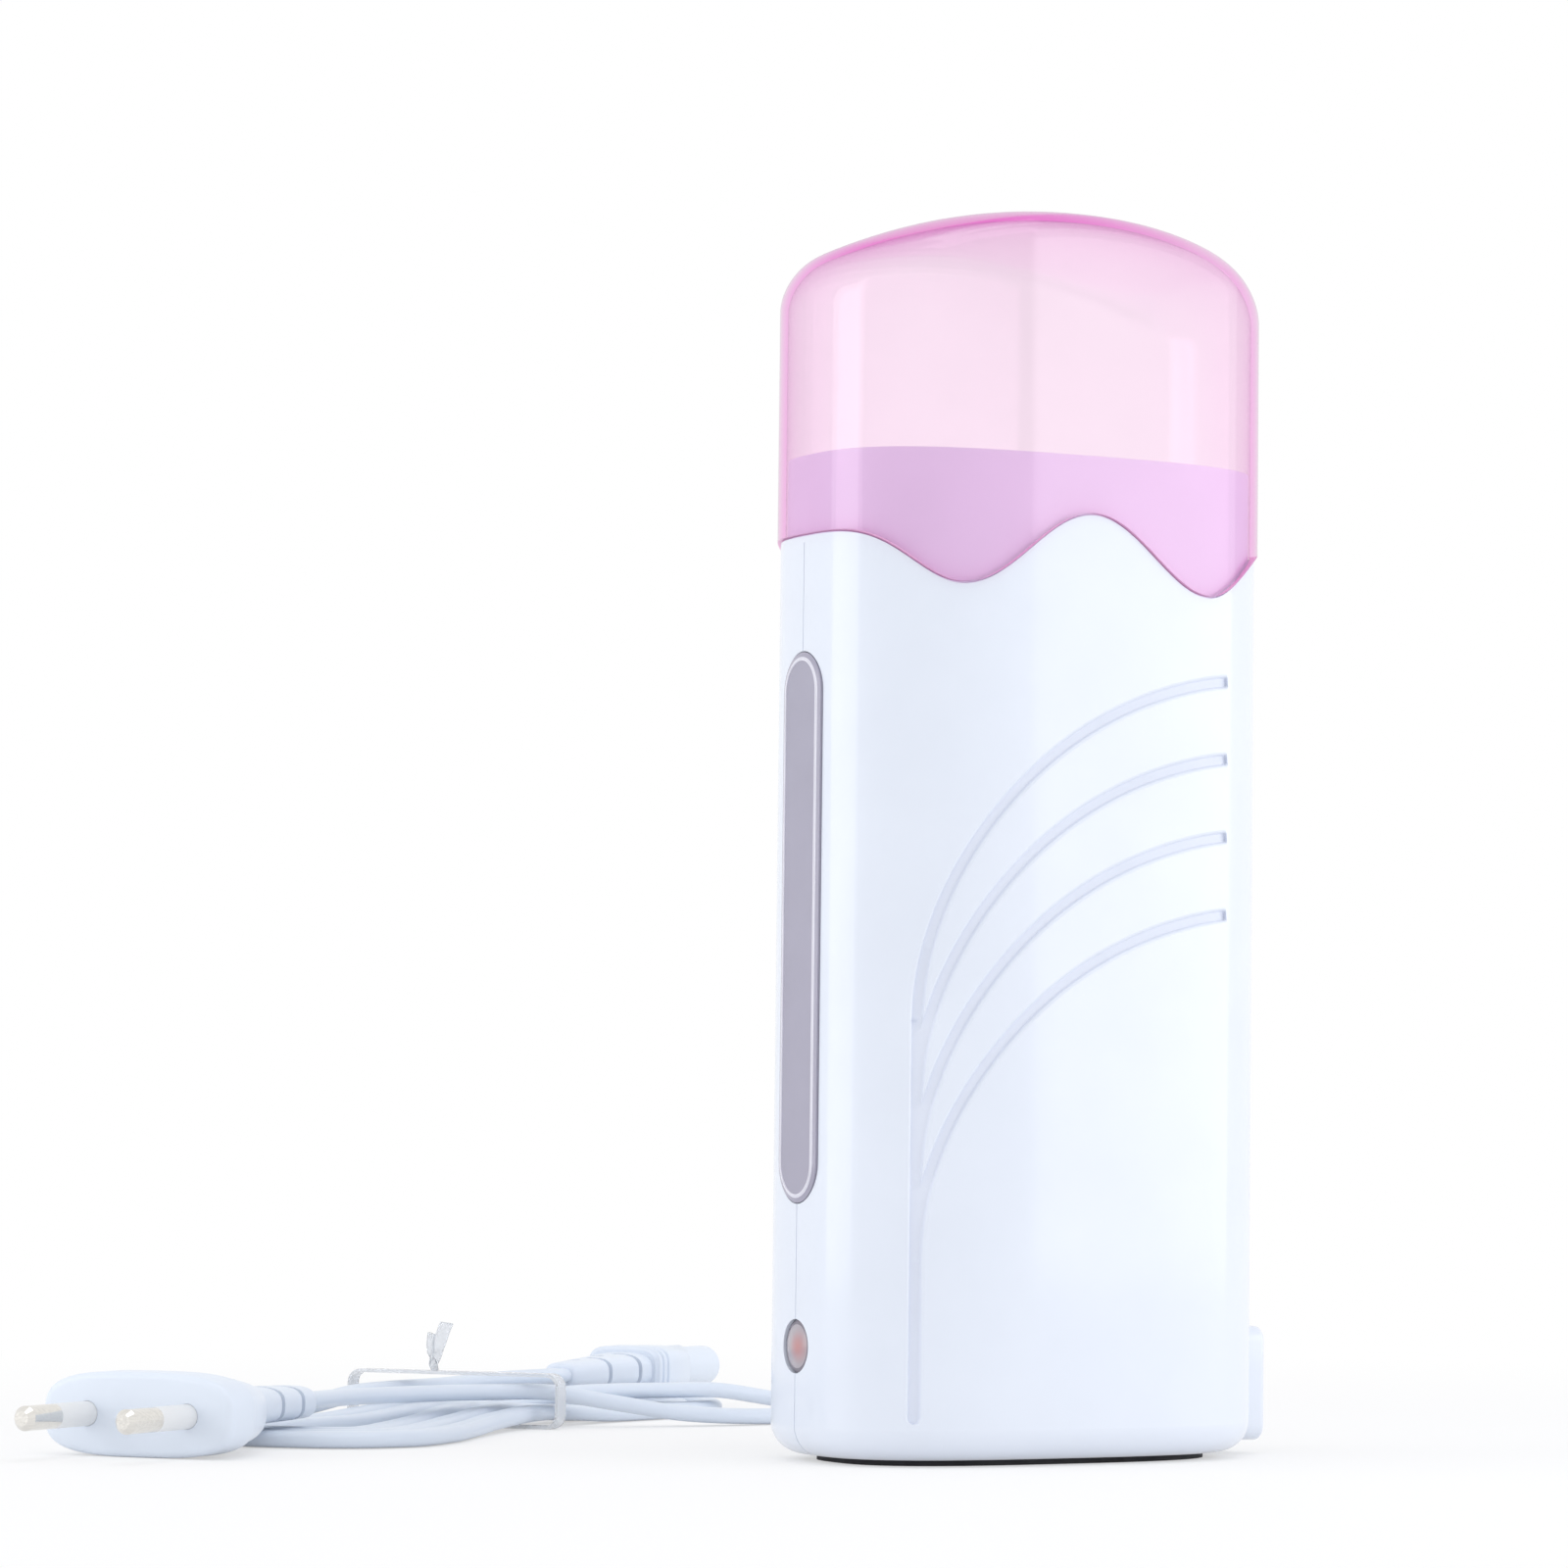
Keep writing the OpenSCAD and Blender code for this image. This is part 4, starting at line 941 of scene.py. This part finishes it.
def make_case():
    case = case_block(0, NECK_TOP)
    above = beyond_wave(0, NECK_TOP + 10)
    cut(case, cut(above, plan_prism(NECK_INSET, WAVE_TROUGH - 2, NECK_TOP + 12)))
    cut(case, hollow())
    cut(case, plan_prism(PAD_MARGIN - GAP, -1, PAD_THICK))
    cut(case, wall_hole(window_outline(-GAP, 16), -1))
    cut(case, wall_hole(disc_outline(LAMP_RADIUS + GAP, LAMP_Z, 16), -1))
    cut(case, wall_hole(inlet_outline(NECK_LESS / 2 - GAP, 1.5), 1))
    for index in range(GROOVE_COUNT):
        cut(case, groove_cutter(groove_line(index), TIP_RADIUS))
    cut(case, groove_cutter(stem_line(), STEM_RADIUS))
    for x, z in SCREW_PLACES:
        cut(case, round_bar_y(RECESS_RADIUS, x, z, SCREW_SEAT, FAR))
        cut(case, round_bar_y(SHANK_RADIUS, x, z, SCREW_TIP, SCREW_SEAT + 1, 32))
    return case


case = make_case()
tell(case)

# %% [markdown]
# The seam shows as a fine line all round, because the edges of two mouldings are never quite sharp.
# A hair of a groove stands for that. Where faces lie on the outline, their shading normals are
# worked out from the superellipse itself, so that reflections run clean across the long narrow
# faces that the cuts leave. The grooves' floors are rougher and a little darker, which is painted
# shade for the recess. The neck is painted a brighter lilac, painted light for what its pink cap
# lets through.

# %% Part the case and finish its surface
SEAM_HALF_WIDTH, SEAM_DEPTH = 0.1, 0.2
BEYOND, BELOW, ABOVE = 60, -5, 200
GROOVE_REACH, GROOVE_SHALLOW, GROOVE_DEEP = 31.5, 0.25, 0.9
ON_OUTLINE, UPRIGHT, OUTWARD = 0.02, 0.02, 0.8


def box_between(low, high):
    (x0, y0, z0), (x1, y1, z1) = low, high
    return loft("box", along_z([(x0, y0), (x1, y0), (x1, y1), (x0, y1)], z0, z1))


def seam_groove():
    ring = box_between((-BEYOND, -SEAM_HALF_WIDTH, BELOW), (BEYOND, SEAM_HALF_WIDTH, WAVE_SIDE - 1))
    return cut(ring, case_block(SEAM_DEPTH, NECK_TOP + 5))


def read(items, name, width=1, kind=float):
    """One value, or a row of width values, from each of a mesh's items."""
    values = np.empty(len(items) * width, kind)
    items.foreach_get(name, values)
    return values.reshape(-1, width) if width > 1 else values


def outline_normals(piece, inset=0.0):
    """Gives wall faces on the plan's outline the superellipse's own normals."""
    mesh = piece.data
    normals = read(mesh.corner_normals, "vector", 3)
    places = read(mesh.vertices, "co", 3)[read(mesh.loops, "vertex_index", kind=int)] / MM
    shape = np.array([HALF_WIDTH - inset, HALF_DEPTH - inset])
    share = places[:, :2] / shape
    size = (np.abs(share) ** PLAN_POWER).sum(axis=1) ** (1 / PLAN_POWER)
    on_wall = np.abs(size - 1) < ON_OUTLINE / HALF_DEPTH
    slope = np.sign(share) * np.abs(share) ** (PLAN_POWER - 1) / shape
    slope /= np.linalg.norm(slope, axis=1, keepdims=True) + 1e-12
    starts = read(mesh.polygons, "loop_start", kind=int)
    faces = read(mesh.polygons, "normal", 3)
    whole = np.minimum.reduceat(on_wall, starts) & (np.abs(faces[:, 2]) < UPRIGHT)
    face_of = np.repeat(np.arange(len(starts)), read(mesh.polygons, "loop_total", kind=int))
    chosen = whole[face_of] & ((faces[face_of, :2] * slope).sum(axis=1) > OUTWARD)
    normals[chosen] = np.column_stack([slope[chosen], np.zeros(chosen.sum())])
    mesh.normals_split_custom_set(normals.tolist())
    return piece


def in_groove(centre, normal):
    return (STEM_BOTTOM - 2 < centre.z < TIP_TOP + 3 and abs(centre.x) < GROOVE_REACH
            and GROOVE_SHALLOW < centre.y - front_face(centre.x) < GROOVE_DEEP)


def on_neck(centre, normal):
    return centre.z > wave(centre.x) + 0.3


def half_case(name, front, back):
    """The part of the case between two depths, with its finishes: painted shade in the grooves and
    painted light on the neck.
    """
    half = case.copy()
    half.data = case.data.copy()
    half.name = half.data.name = name
    bpy.context.collection.objects.link(half)
    cut(half, box_between((-BEYOND, front, BELOW), (BEYOND, back, ABOVE)), "INTERSECT")
    outline_normals(finished(half, shell_white, 32))
    found = finish_faces(half, groove_matt, in_groove), finish_faces(half, neck_lilac, on_neck)
    print(name, len(half.data.polygons), "faces; in the grooves", found[0], "and on the neck", found[1])
    return half


# The grooves' floors are rougher, and their slightly darker white is painted shade for the recess.
groove_matt = moulded("groove_matt", (0.735, 0.775, 0.88), 0.42, grain=0.4)
# The neck is the same white moulding as the case; its brighter lilac is painted light for the pink
# light through the cap.
neck_lilac = moulded("neck_lilac", (0.83, 0.71, 0.91), 0.4, grain=0.4)
cut(case, seam_groove())
stand(half_case("front_case", -BEYOND, 0), "heater", "shell", "front_shell")
stand(half_case("rear_case", 0, BEYOND), "heater", "shell", "rear_shell")
bpy.data.objects.remove(case)

# %% [markdown]
# The cap is a thin clear shell, moulded in one piece and tinted in the mass. Its crown bends both
# ways, and its edge is tight along the front but opens into wide round shoulders at the sides. The
# real wall matters here: light loses some green in each layer that it passes, so the wall looks
# pinker where it is seen end on. So thin a wall hardly bends the light, and sight goes straight
# through it. Its cut edge is painted an opaque pink: painted glow for the light that the wall
# carries to its edge.

# %% The cap
CAP_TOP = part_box("cap")[1][2] / MM
CAP_OUTSET, CAP_INSET, CROWN_THICK, CAP_LIFT = 0.5, 0.7, 1.5, 0.3
CROWN_RINGS, CROWN_STEPS = 17, 24
CROWN_RADIUS_X, CROWN_RADIUS_Y = 74, 98
EDGE_FRONT, EDGE_SIDE = 2.5, 7
GLANCE_POWER, GLANCE_SHINE = 5, 0.6


def crown(x, y, top):
    return top - x * x / (2 * CROWN_RADIUS_X) - y * y / (2 * CROWN_RADIUS_Y)


def crown_ring(inset, top, angle):
    """The ring at angle round the crown's edge, from 0 at the wall to a quarter turn on top."""
    ring = []
    for x, y in plan(inset):
        edge = EDGE_FRONT + (EDGE_SIDE - EDGE_FRONT) * (abs(x) / HALF_WIDTH) ** 4
        k = 1 - edge * (1 - math.cos(angle)) / math.hypot(x, y)
        ring.append((x * k, y * k, crown(x * k, y * k, top) - edge * (1 - math.sin(angle))))
    return ring


def cap_block(inset, top):
    rings = along_z(plan(inset), WAVE_TROUGH - 4)
    rings += [crown_ring(inset, top, a) for a in quarter(0, CROWN_RINGS)]
    edge = rings[-1]
    for k in np.linspace(0.96, 0.02, CROWN_STEPS):
        rings.append([(x * k, y * k, crown(x * k, y * k, top)) for x, y, z in edge])
    return loft("cap_block", rings)


def make_cap(material):
    cap = cap_block(-CAP_OUTSET, CAP_TOP)
    cut(cap, cap_block(CAP_INSET, CAP_TOP - CROWN_THICK))
    cut(cap, beyond_wave(CAP_LIFT, WAVE_TROUGH - 20))
    cap.name = cap.data.name = "clear_cap"
    return outline_normals(finished(cap, material, 32), -CAP_OUTSET)


def on_cap_edge(centre, normal):
    return normal.z < -0.3 and centre.z < wave(centre.x) + 1


def clear_wall(name, tint, shine, roughness, density, colour):
    """A thin clear wall: sight passes straight through, and it mirrors more the flatter it is seen."""
    material, shader, place = new_material(name)
    place.id_data.nodes.remove(shader)
    film = add_node(place, "BsdfTransparent", {"Color": darker(noise(place, 30), tint, 0.985)})
    gloss = add_node(place, "BsdfAnisotropic", {
        "Roughness": span(noise(place, 9), roughness * 0.7, roughness * 1.3),
        "Normal": bump(noise(place, 12, 2), 0.02, 0.35)})
    facing = add_node(place, "LayerWeight", {"Blend": 0.5}).outputs["Facing"]
    steep = add_node(place, "Math", {0: facing, 1: GLANCE_POWER}, operation="POWER").outputs["Value"]
    share = add_node(place, "MapRange", {"Value": steep, "To Min": shine, "To Max": GLANCE_SHINE})
    depth = add_node(place, "VolumeAbsorption", {"Color": (*colour, 1), "Density": density})
    fill(place.id_data.nodes["Material Output"], {
        "Surface": mixed(share.outputs["Result"], film.outputs["BSDF"], gloss.outputs["BSDF"]),
        "Volume": depth.outputs["Volume"]})
    return material


def mixed(factor, first, second):
    return add_node(factor, "MixShader", {"Fac": factor, 1: first, 2: second}).outputs["Shader"]


cap_pink = clear_wall("cap_pink", (0.99, 0.965, 0.98), 0.045, 0.07, 70, (0.95, 0.30, 0.84))
# The cap's lower edge is painted an opaque pink: painted glow for light carried along the wall to its
# edge.
cap_edge_pink = moulded("cap_edge_pink", (0.90, 0.48, 0.72), 0.3)
cap = stand(make_cap(cap_pink), "cap", "cap", "cap")
edge_faces = finish_faces(cap, cap_edge_pink, on_cap_edge)
print("cap:", len(cap.data.polygons), "faces,", edge_faces, "of them on its edge")

# %% [markdown]
# The sight window shows how much wax is left in the cartridge behind it. Its lens is a long smoky
# stadium with a bevelled rim and a fine raised lip, pushed in from inside until a flange stops it.
# The lip is painted lighter than the lens: a painted highlight along its rounded edge.
# The lamp's lens below is a small dome of the same milky plastic, sunk a little in the wall. Its
# outer rim is painted dark: painted shade where the dome meets its hole. The red bulb sits close
# behind it, a little forward of the middle, and its glow is painted on the lens as a soft red spot.

# %% Window and lamp lenses
WINDOW_PROUD, WINDOW_BEVEL, FLANGE, FLANGE_THICK = 0.5, 1.0, 1.6, 1.5
LIP_HEIGHT, LIP_WIDTH, FIELD_SUNK = 0.15, 0.42, 0.2
LAMP_DOME, LAMP_SINK, LAMP_RIM, RIM_SHARE = 0.9, 0.6, 1, 0.86
FLANGE_X = -HALF_WIDTH + WALL + FLANGE_THICK


def seat_flange(outline):
    """A flange that fills the inside of the narrow side's curved wall."""
    flange = loft("flange", along_x(outline, -HALF_WIDTH, FLANGE_X))
    return cut(flange, plan_prism(WALL, 0, NECK_TOP), "INTERSECT")


def make_window(material):
    rings = along_x(window_outline(0), FLANGE_X, -HALF_WIDTH - 0.05)
    for a in np.linspace(0.15, 1, 5):
        x = -HALF_WIDTH - (WINDOW_PROUD - LIP_HEIGHT) * (0.1 + 0.9 * a)
        rings += along_x(window_outline(WINDOW_BEVEL * a), x)
    for a in np.linspace(0.4, math.pi, 7):
        inset = WINDOW_BEVEL + LIP_WIDTH * (1 - math.cos(a)) / 2
        sunk = LIP_HEIGHT if a < math.pi / 2 else FIELD_SUNK
        rings += along_x(window_outline(inset), -HALF_WIDTH - WINDOW_PROUD + sunk * (1 - math.sin(a)))
    window = cut(loft("window_pane", rings), seat_flange(window_outline(-FLANGE)), "UNION")
    finished(window, material, 30)
    # The lip's faces get a lighter colour: a painted highlight.
    finish_faces(window, lip_clear, lambda c, n: c.x < -HALF_WIDTH - WINDOW_PROUD + FIELD_SUNK - 0.01)
    return window


def make_lamp_lens(material):
    sphere = (LAMP_RADIUS**2 + LAMP_DOME**2) / (2 * LAMP_DOME)
    front = -HALF_WIDTH + LAMP_SINK - LAMP_DOME
    rings = []
    for share in (0.02, *np.linspace(0.1, 0.97, 14), 1):
        r = LAMP_RADIUS * share
        rings += along_x(disc_outline(r, LAMP_Z, 18), front + sphere - math.sqrt(sphere**2 - r**2))
    rings += along_x(disc_outline(LAMP_RADIUS, LAMP_Z, 18), FLANGE_X + 0.5)
    flange = seat_flange(disc_outline(LAMP_RADIUS + LAMP_RIM, LAMP_Z, 18))
    lens = finished(cut(loft("lamp_dome", rings), flange, "UNION"), material, 30)
    # The outer rim of the lens is painted dark: painted shade where it meets the wall.
    finish_faces(lens, lens_rim, lambda c, n: math.hypot(c.y, c.z - LAMP_Z) > RIM_SHARE * LAMP_RADIUS)
    return lens


def milky_plastic(name, colour, roughness, clear, spot=None):
    """Smoky plastic that scatters most light; spot is a patch of (place, radius, colour) of painted
    glow in its colour.
    """
    material, shader, place = new_material(name)
    shown = darker(noise(place, 12), colour, 0.95)
    if spot:
        shown = with_painted_glow(place, shown, *spot)
    fill(shader, {
        "Base Color": shown,
        "Roughness": span(noise(place, 9), roughness * 0.8, roughness * 1.2),
        "Normal": bump(noise(place, 6, 2), 0.01, 0.3),
        "Transmission Weight": clear,
        "IOR": CLEAR_IOR})
    return material


def with_painted_glow(place, colour, centre, radius, glow):
    """A colour with a soft round patch of glow in it."""
    away = add_node(place, "VectorMath", {0: place, 1: [c * MM for c in centre]}, operation="DISTANCE")
    near = add_node(place, "MapRange", {"Value": away.outputs["Value"], "From Min": radius * MM,
                                        "From Max": 0}, interpolation_type="SMOOTHSTEP")
    sockets = {"Factor": near.outputs["Result"], 6: colour, 7: (*glow, 1)}
    return add_node(place, "Mix", sockets, data_type="RGBA").outputs[2]


smoky = milky_plastic("smoky_window", (0.50, 0.48, 0.60), 0.16, 0.25)
# The lip's lighter colour is a painted highlight along its rounded edge.
lip_clear = milky_plastic("lip_clear", (0.84, 0.83, 0.92), 0.12, 0.1)
# The lamp lens's outer rim is painted dark: painted shade where the dome meets the hole in the wall.
lens_rim = milky_plastic("lens_rim", (0.30, 0.27, 0.32), 0.2, 0.2)
# The lamp lens gets a soft red spot painted into its colour: painted glow of the bulb behind it.
lamp_grey = milky_plastic("lamp_grey", (0.62, 0.57, 0.63), 0.14, 0.3,
                          ((-HALF_WIDTH, -1.2, LAMP_Z), 3.4, (0.74, 0.38, 0.38)))
tell(stand(make_window(smoky), "heater", "lens", "window_lens"),
     stand(make_lamp_lens(lamp_grey), "heater", "lens", "lamp_lens"))

# %% [markdown]
# The power inlet is a separate moulding that is trapped between the halves, low on the right side.
# Only its block stands out, with a figure-eight socket and two pins deep inside it.

# %% Power inlet
INLET_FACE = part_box("inlet_housing")[1][0] / MM
INLET_CORNER = 2.5
SOCKET_DEPTH, SOCKET_WIDTH, SOCKET_HEIGHT = 14, 8.4, 14.2
SOCKET_DIPS = [(0.4, 0.8), (-0.4, 0.8)]
PIN_RADIUS = 1.2


def make_inlet(material):
    floor, back = INLET_FACE - SOCKET_DEPTH, INLET_FACE - SOCKET_DEPTH - 2.5
    rings = along_x(inlet_outline(0, INLET_CORNER), HALF_WIDTH - 3, INLET_FACE - 1)
    for a in quarter(0.25, 6):
        less = 1 - math.cos(a)
        rings += along_x(inlet_outline(less, INLET_CORNER - less), INLET_FACE - 1 + math.sin(a))
    inlet = cut(loft("inlet_block", rings), case_block(0, INLET_Z + INLET_HEIGHT))
    neck = along_x(inlet_outline(NECK_LESS / 2, 1.4), back, HALF_WIDTH + 1)
    cut(inlet, loft("neck", neck), "UNION")
    eight = figure_of_eight(SOCKET_HEIGHT, SOCKET_WIDTH, SOCKET_DIPS, 25)
    socket = along_x([(-v, INLET_Z + u) for u, v in eight], floor, INLET_FACE + 2)
    cut(inlet, loft("socket", socket))
    for side in (-1, 1):
        hole = disc_outline(PIN_RADIUS, INLET_Z + side * PIN_PITCH / 2)
        cut(inlet, loft("hole", along_x(hole, back - 1, floor + 1)))
    return finished(inlet, material, 32)


tell(stand(make_inlet(shell_white), "heater", "shell", "inlet_housing"))

# %% [markdown]
# What is left is plain stock: plated pins, zinc screws, a rolled aluminium plate, a strip of mica.
# Their solids are right as they are, and only want the finish that each is really delivered in.
# Plating shows fine polishing lines along the part, rolled sheet shows a drawn grain, and laminate
# shows its glass cloth.

# %% Finishes for the solids that stay


def plated(name, colour, roughness, line=0.5, stretch=(8, 1, 1), height=0.003):
    """Metal with fine lines drawn out along one axis."""
    material, shader, place = new_material(name)
    grain = noise(place, line, 4, stretch)
    fill(shader, {
        "Base Color": darker(grain, colour, 0.9),
        "Roughness": span(grain, roughness * 0.8, roughness * 1.3),
        "Normal": bump(grain, height),
        "Metallic": 1})
    return material


def laminate(name, colour, weave):
    """Board or mica: a fine cloth shows through the colour."""
    material, shader, place = new_material(name)
    cloth = add_node(place, "TexChecker", {
        "Vector": place, "Scale": 1 / (weave * MM),
        "Color1": (*colour, 1), "Color2": (*[c * 0.85 for c in colour], 1)})
    fill(shader, {
        "Base Color": cloth.outputs["Color"],
        "Roughness": span(noise(place, 2), 0.3, 0.45),
        "Normal": bump(cloth.outputs["Fac"], 0.01, 0.4)})
    return material


def lit_glass(name, colour, glow):
    """The bulb's clear red shell, with a little light of its own."""
    material, shader, place = new_material(name)
    fill(shader, {
        "Base Color": darker(noise(place, 1.5), colour, 0.8),
        "Roughness": 0.12,
        "Emission Color": (*colour, 1),
        "Emission Strength": glow})
    return material


FINISHES = {
    # The base pad is near black rubber, and its dark colour also gives the dark line along the heater's
    # foot: partly painted contact shadow.
    "base_pad": moulded("pad_rubber", (0.035, 0.035, 0.04), 0.8, 0.006, 0.6, 0.03),
    "cartridge_well": moulded("well_white", (0.62, 0.60, 0.66), 0.45, 0.02, 0.8, 0.01),
    "indicator_bulb": lit_glass("bulb_red", (0.85, 0.10, 0.06), 0.6),
    "lamp_board": laminate("board_green", (0.03, 0.16, 0.07), 0.4),
    "lamp_resistor": moulded("resistor_lacquer", (0.52, 0.38, 0.20), 0.35, 0.04, 0.3, 0.01),
    "inlet_pins": plated("nickel", (0.72, 0.70, 0.66), 0.18),
    "plug_pins": plated("bright_nickel", (0.80, 0.78, 0.74), 0.16, 0.4),
    "plug_sleeves": moulded("sleeve_white", (0.78, 0.79, 0.80), 0.4, 0.01, 0.4, 0.004),
    "connector_sleeves": plated("brass", (0.70, 0.53, 0.25), 0.25),
    "heater_plate": plated("rolled_aluminium", (0.78, 0.79, 0.80), 0.32, 0.35, (1, 1, 14), 0.006),
    "ptc_element": moulded("amber_film", (0.42, 0.22, 0.04), 0.28, 0.04, 1.5, 0.03),
    "ptc_clamp": plated("spring_steel", (0.55, 0.56, 0.58), 0.28, 0.3, (12, 1, 1)),
    "clamp_rivets": plated("rivet_aluminium", (0.75, 0.75, 0.75), 0.35, 0.6, (1, 1, 1)),
    "insulation_sheet": laminate("mica", (0.62, 0.55, 0.30), 1.1),
    "thermostat": moulded("thermostat_black", (0.02, 0.02, 0.022), 0.4, 0.006, 0.3, 0.01),
    "wire_live": moulded("wire_brown", (0.16, 0.05, 0.02), 0.45, 0.02, 0.3, 0.01),
    "wire_neutral": moulded("wire_blue", (0.03, 0.10, 0.35), 0.45, 0.02, 0.3, 0.01),
    "wire_lamp": moulded("wire_white", (0.70, 0.70, 0.70), 0.45, 0.02, 0.3, 0.01),
    "case_screws": plated("zinc", (0.58, 0.60, 0.64), 0.35, 0.5, (1, 6, 1)),
}
for node, material in FINISHES.items():
    for slot in bpy.data.objects[node].material_slots:
        slot.material = material
print("finishes:", len(FINISHES))

# %% [markdown]
# The photograph was lit for a catalogue: a white table, a white background, and large soft lamps
# all round. The table is plain white, and keeps the shadow close under the heater. Further out it
# fades to the same white as the background, for whatever looks at it straight, by reflection or
# through the clear plastic.

# %% Floor and background
SHADOW_REACH, WHITE_REACH, WHITE_START = 120, 420, 0.5
FLOOR_REACH, FLOOR_PATCH = 3000, 400
FLOOR_GREYS = (0.90, 0.90, 0.905), (0.92, 0.92, 0.925)
ROOM_COLOUR, ROOM_LIGHT = (0.97, 0.98, 1, 1), 0.86


def looked_at(tree):
    """1 for rays from the camera, a reflection or clear plastic, and 0 for light that spreads."""
    path = tree.nodes.new("ShaderNodeLightPath").outputs
    seen = path["Is Camera Ray"]
    for label in ("Is Glossy Ray", "Is Transmission Ray"):
        sockets = {0: seen, 1: path[label]}
        seen = add_node(seen, "Math", sockets, operation="ADD", use_clamp=True).outputs["Value"]
    return seen


def add_floor():
    r = FLOOR_REACH
    floor = new_piece("floor", [(-r, -r, 0), (r, -r, 0), (r, r, 0), (-r, r, 0)], [(0, 1, 2, 3)])
    material, shader, place = new_material("table_white")
    fill(shader, {"Base Color": ramp(noise(place, FLOOR_PATCH), *FLOOR_GREYS),
                  "Roughness": 0.7, "Specular IOR Level": 0.2})
    away = add_node(place, "VectorMath", {0: place}, operation="LENGTH").outputs["Value"]
    fade = add_node(place, "MapRange", {"Value": away, "From Min": SHADOW_REACH * MM,
                                        "From Max": WHITE_REACH * MM, "To Min": WHITE_START},
                    interpolation_type="SMOOTHSTEP").outputs["Result"]
    seen = add_node(place, "Math", {0: fade, 1: looked_at(place.id_data)}, operation="MULTIPLY")
    white = add_node(place, "Emission", {})
    fill(place.id_data.nodes["Material Output"], {"Surface": mixed(
        seen.outputs["Value"], shader.outputs["BSDF"], white.outputs["Emission"])})
    floor.data.materials.append(material)


def add_world():
    world = bpy.data.worlds.new("studio")
    world.use_nodes = True
    seen = looked_at(world.node_tree)
    white = fill(world.node_tree.nodes["Background"], {"Color": (1, 1, 1, 1)})
    soft = add_node(seen, "Background", {"Color": ROOM_COLOUR, "Strength": ROOM_LIGHT})
    fill(world.node_tree.nodes["World Output"],
         {"Surface": mixed(seen, soft.outputs["Background"], white.outputs["Background"])})
    bpy.context.scene.world = world


add_floor()
add_world()
print("floor and background are white")

# %% [markdown]
# The largest lamp stands to the right of the heater. Its edge is what brightens the right half of
# the front, since the slight swell there mirrors it. A smaller one lights the narrow side with the
# window, and one above lifts the crown. Together with the background they give about the light of a
# plain white room.

# %% Lamps
LAMP_AIM = 110


def add_lamp(name, azimuth, height, distance, width, tall, brightness):
    """A soft box that looks at the heater, azimuth degrees round from the front; white paper is 1."""
    data = bpy.data.lights.new(name, "AREA")
    data.shape = "RECTANGLE"
    data.size, data.size_y = width * MM, tall * MM
    data.energy = brightness * math.pi * data.size * data.size_y
    lamp = bpy.data.objects.new(name, data)
    a = math.radians(azimuth)
    lamp.location = Vector((distance * math.sin(a), -distance * math.cos(a), height)) * MM
    aim = Vector((0, 0, LAMP_AIM * MM)) - lamp.location
    lamp.rotation_euler = aim.to_track_quat("-Z", "Y").to_euler()
    bpy.context.collection.objects.link(lamp)


add_lamp("right_box", 50, 260, 750, 800, 520, 1.3)
add_lamp("left_box", -105, 260, 750, 500, 520, 1.5)
add_lamp("top_box", 0, 900, 200, 500, 500, 1.4)
bpy.context.scene.view_settings.view_transform = "Standard"
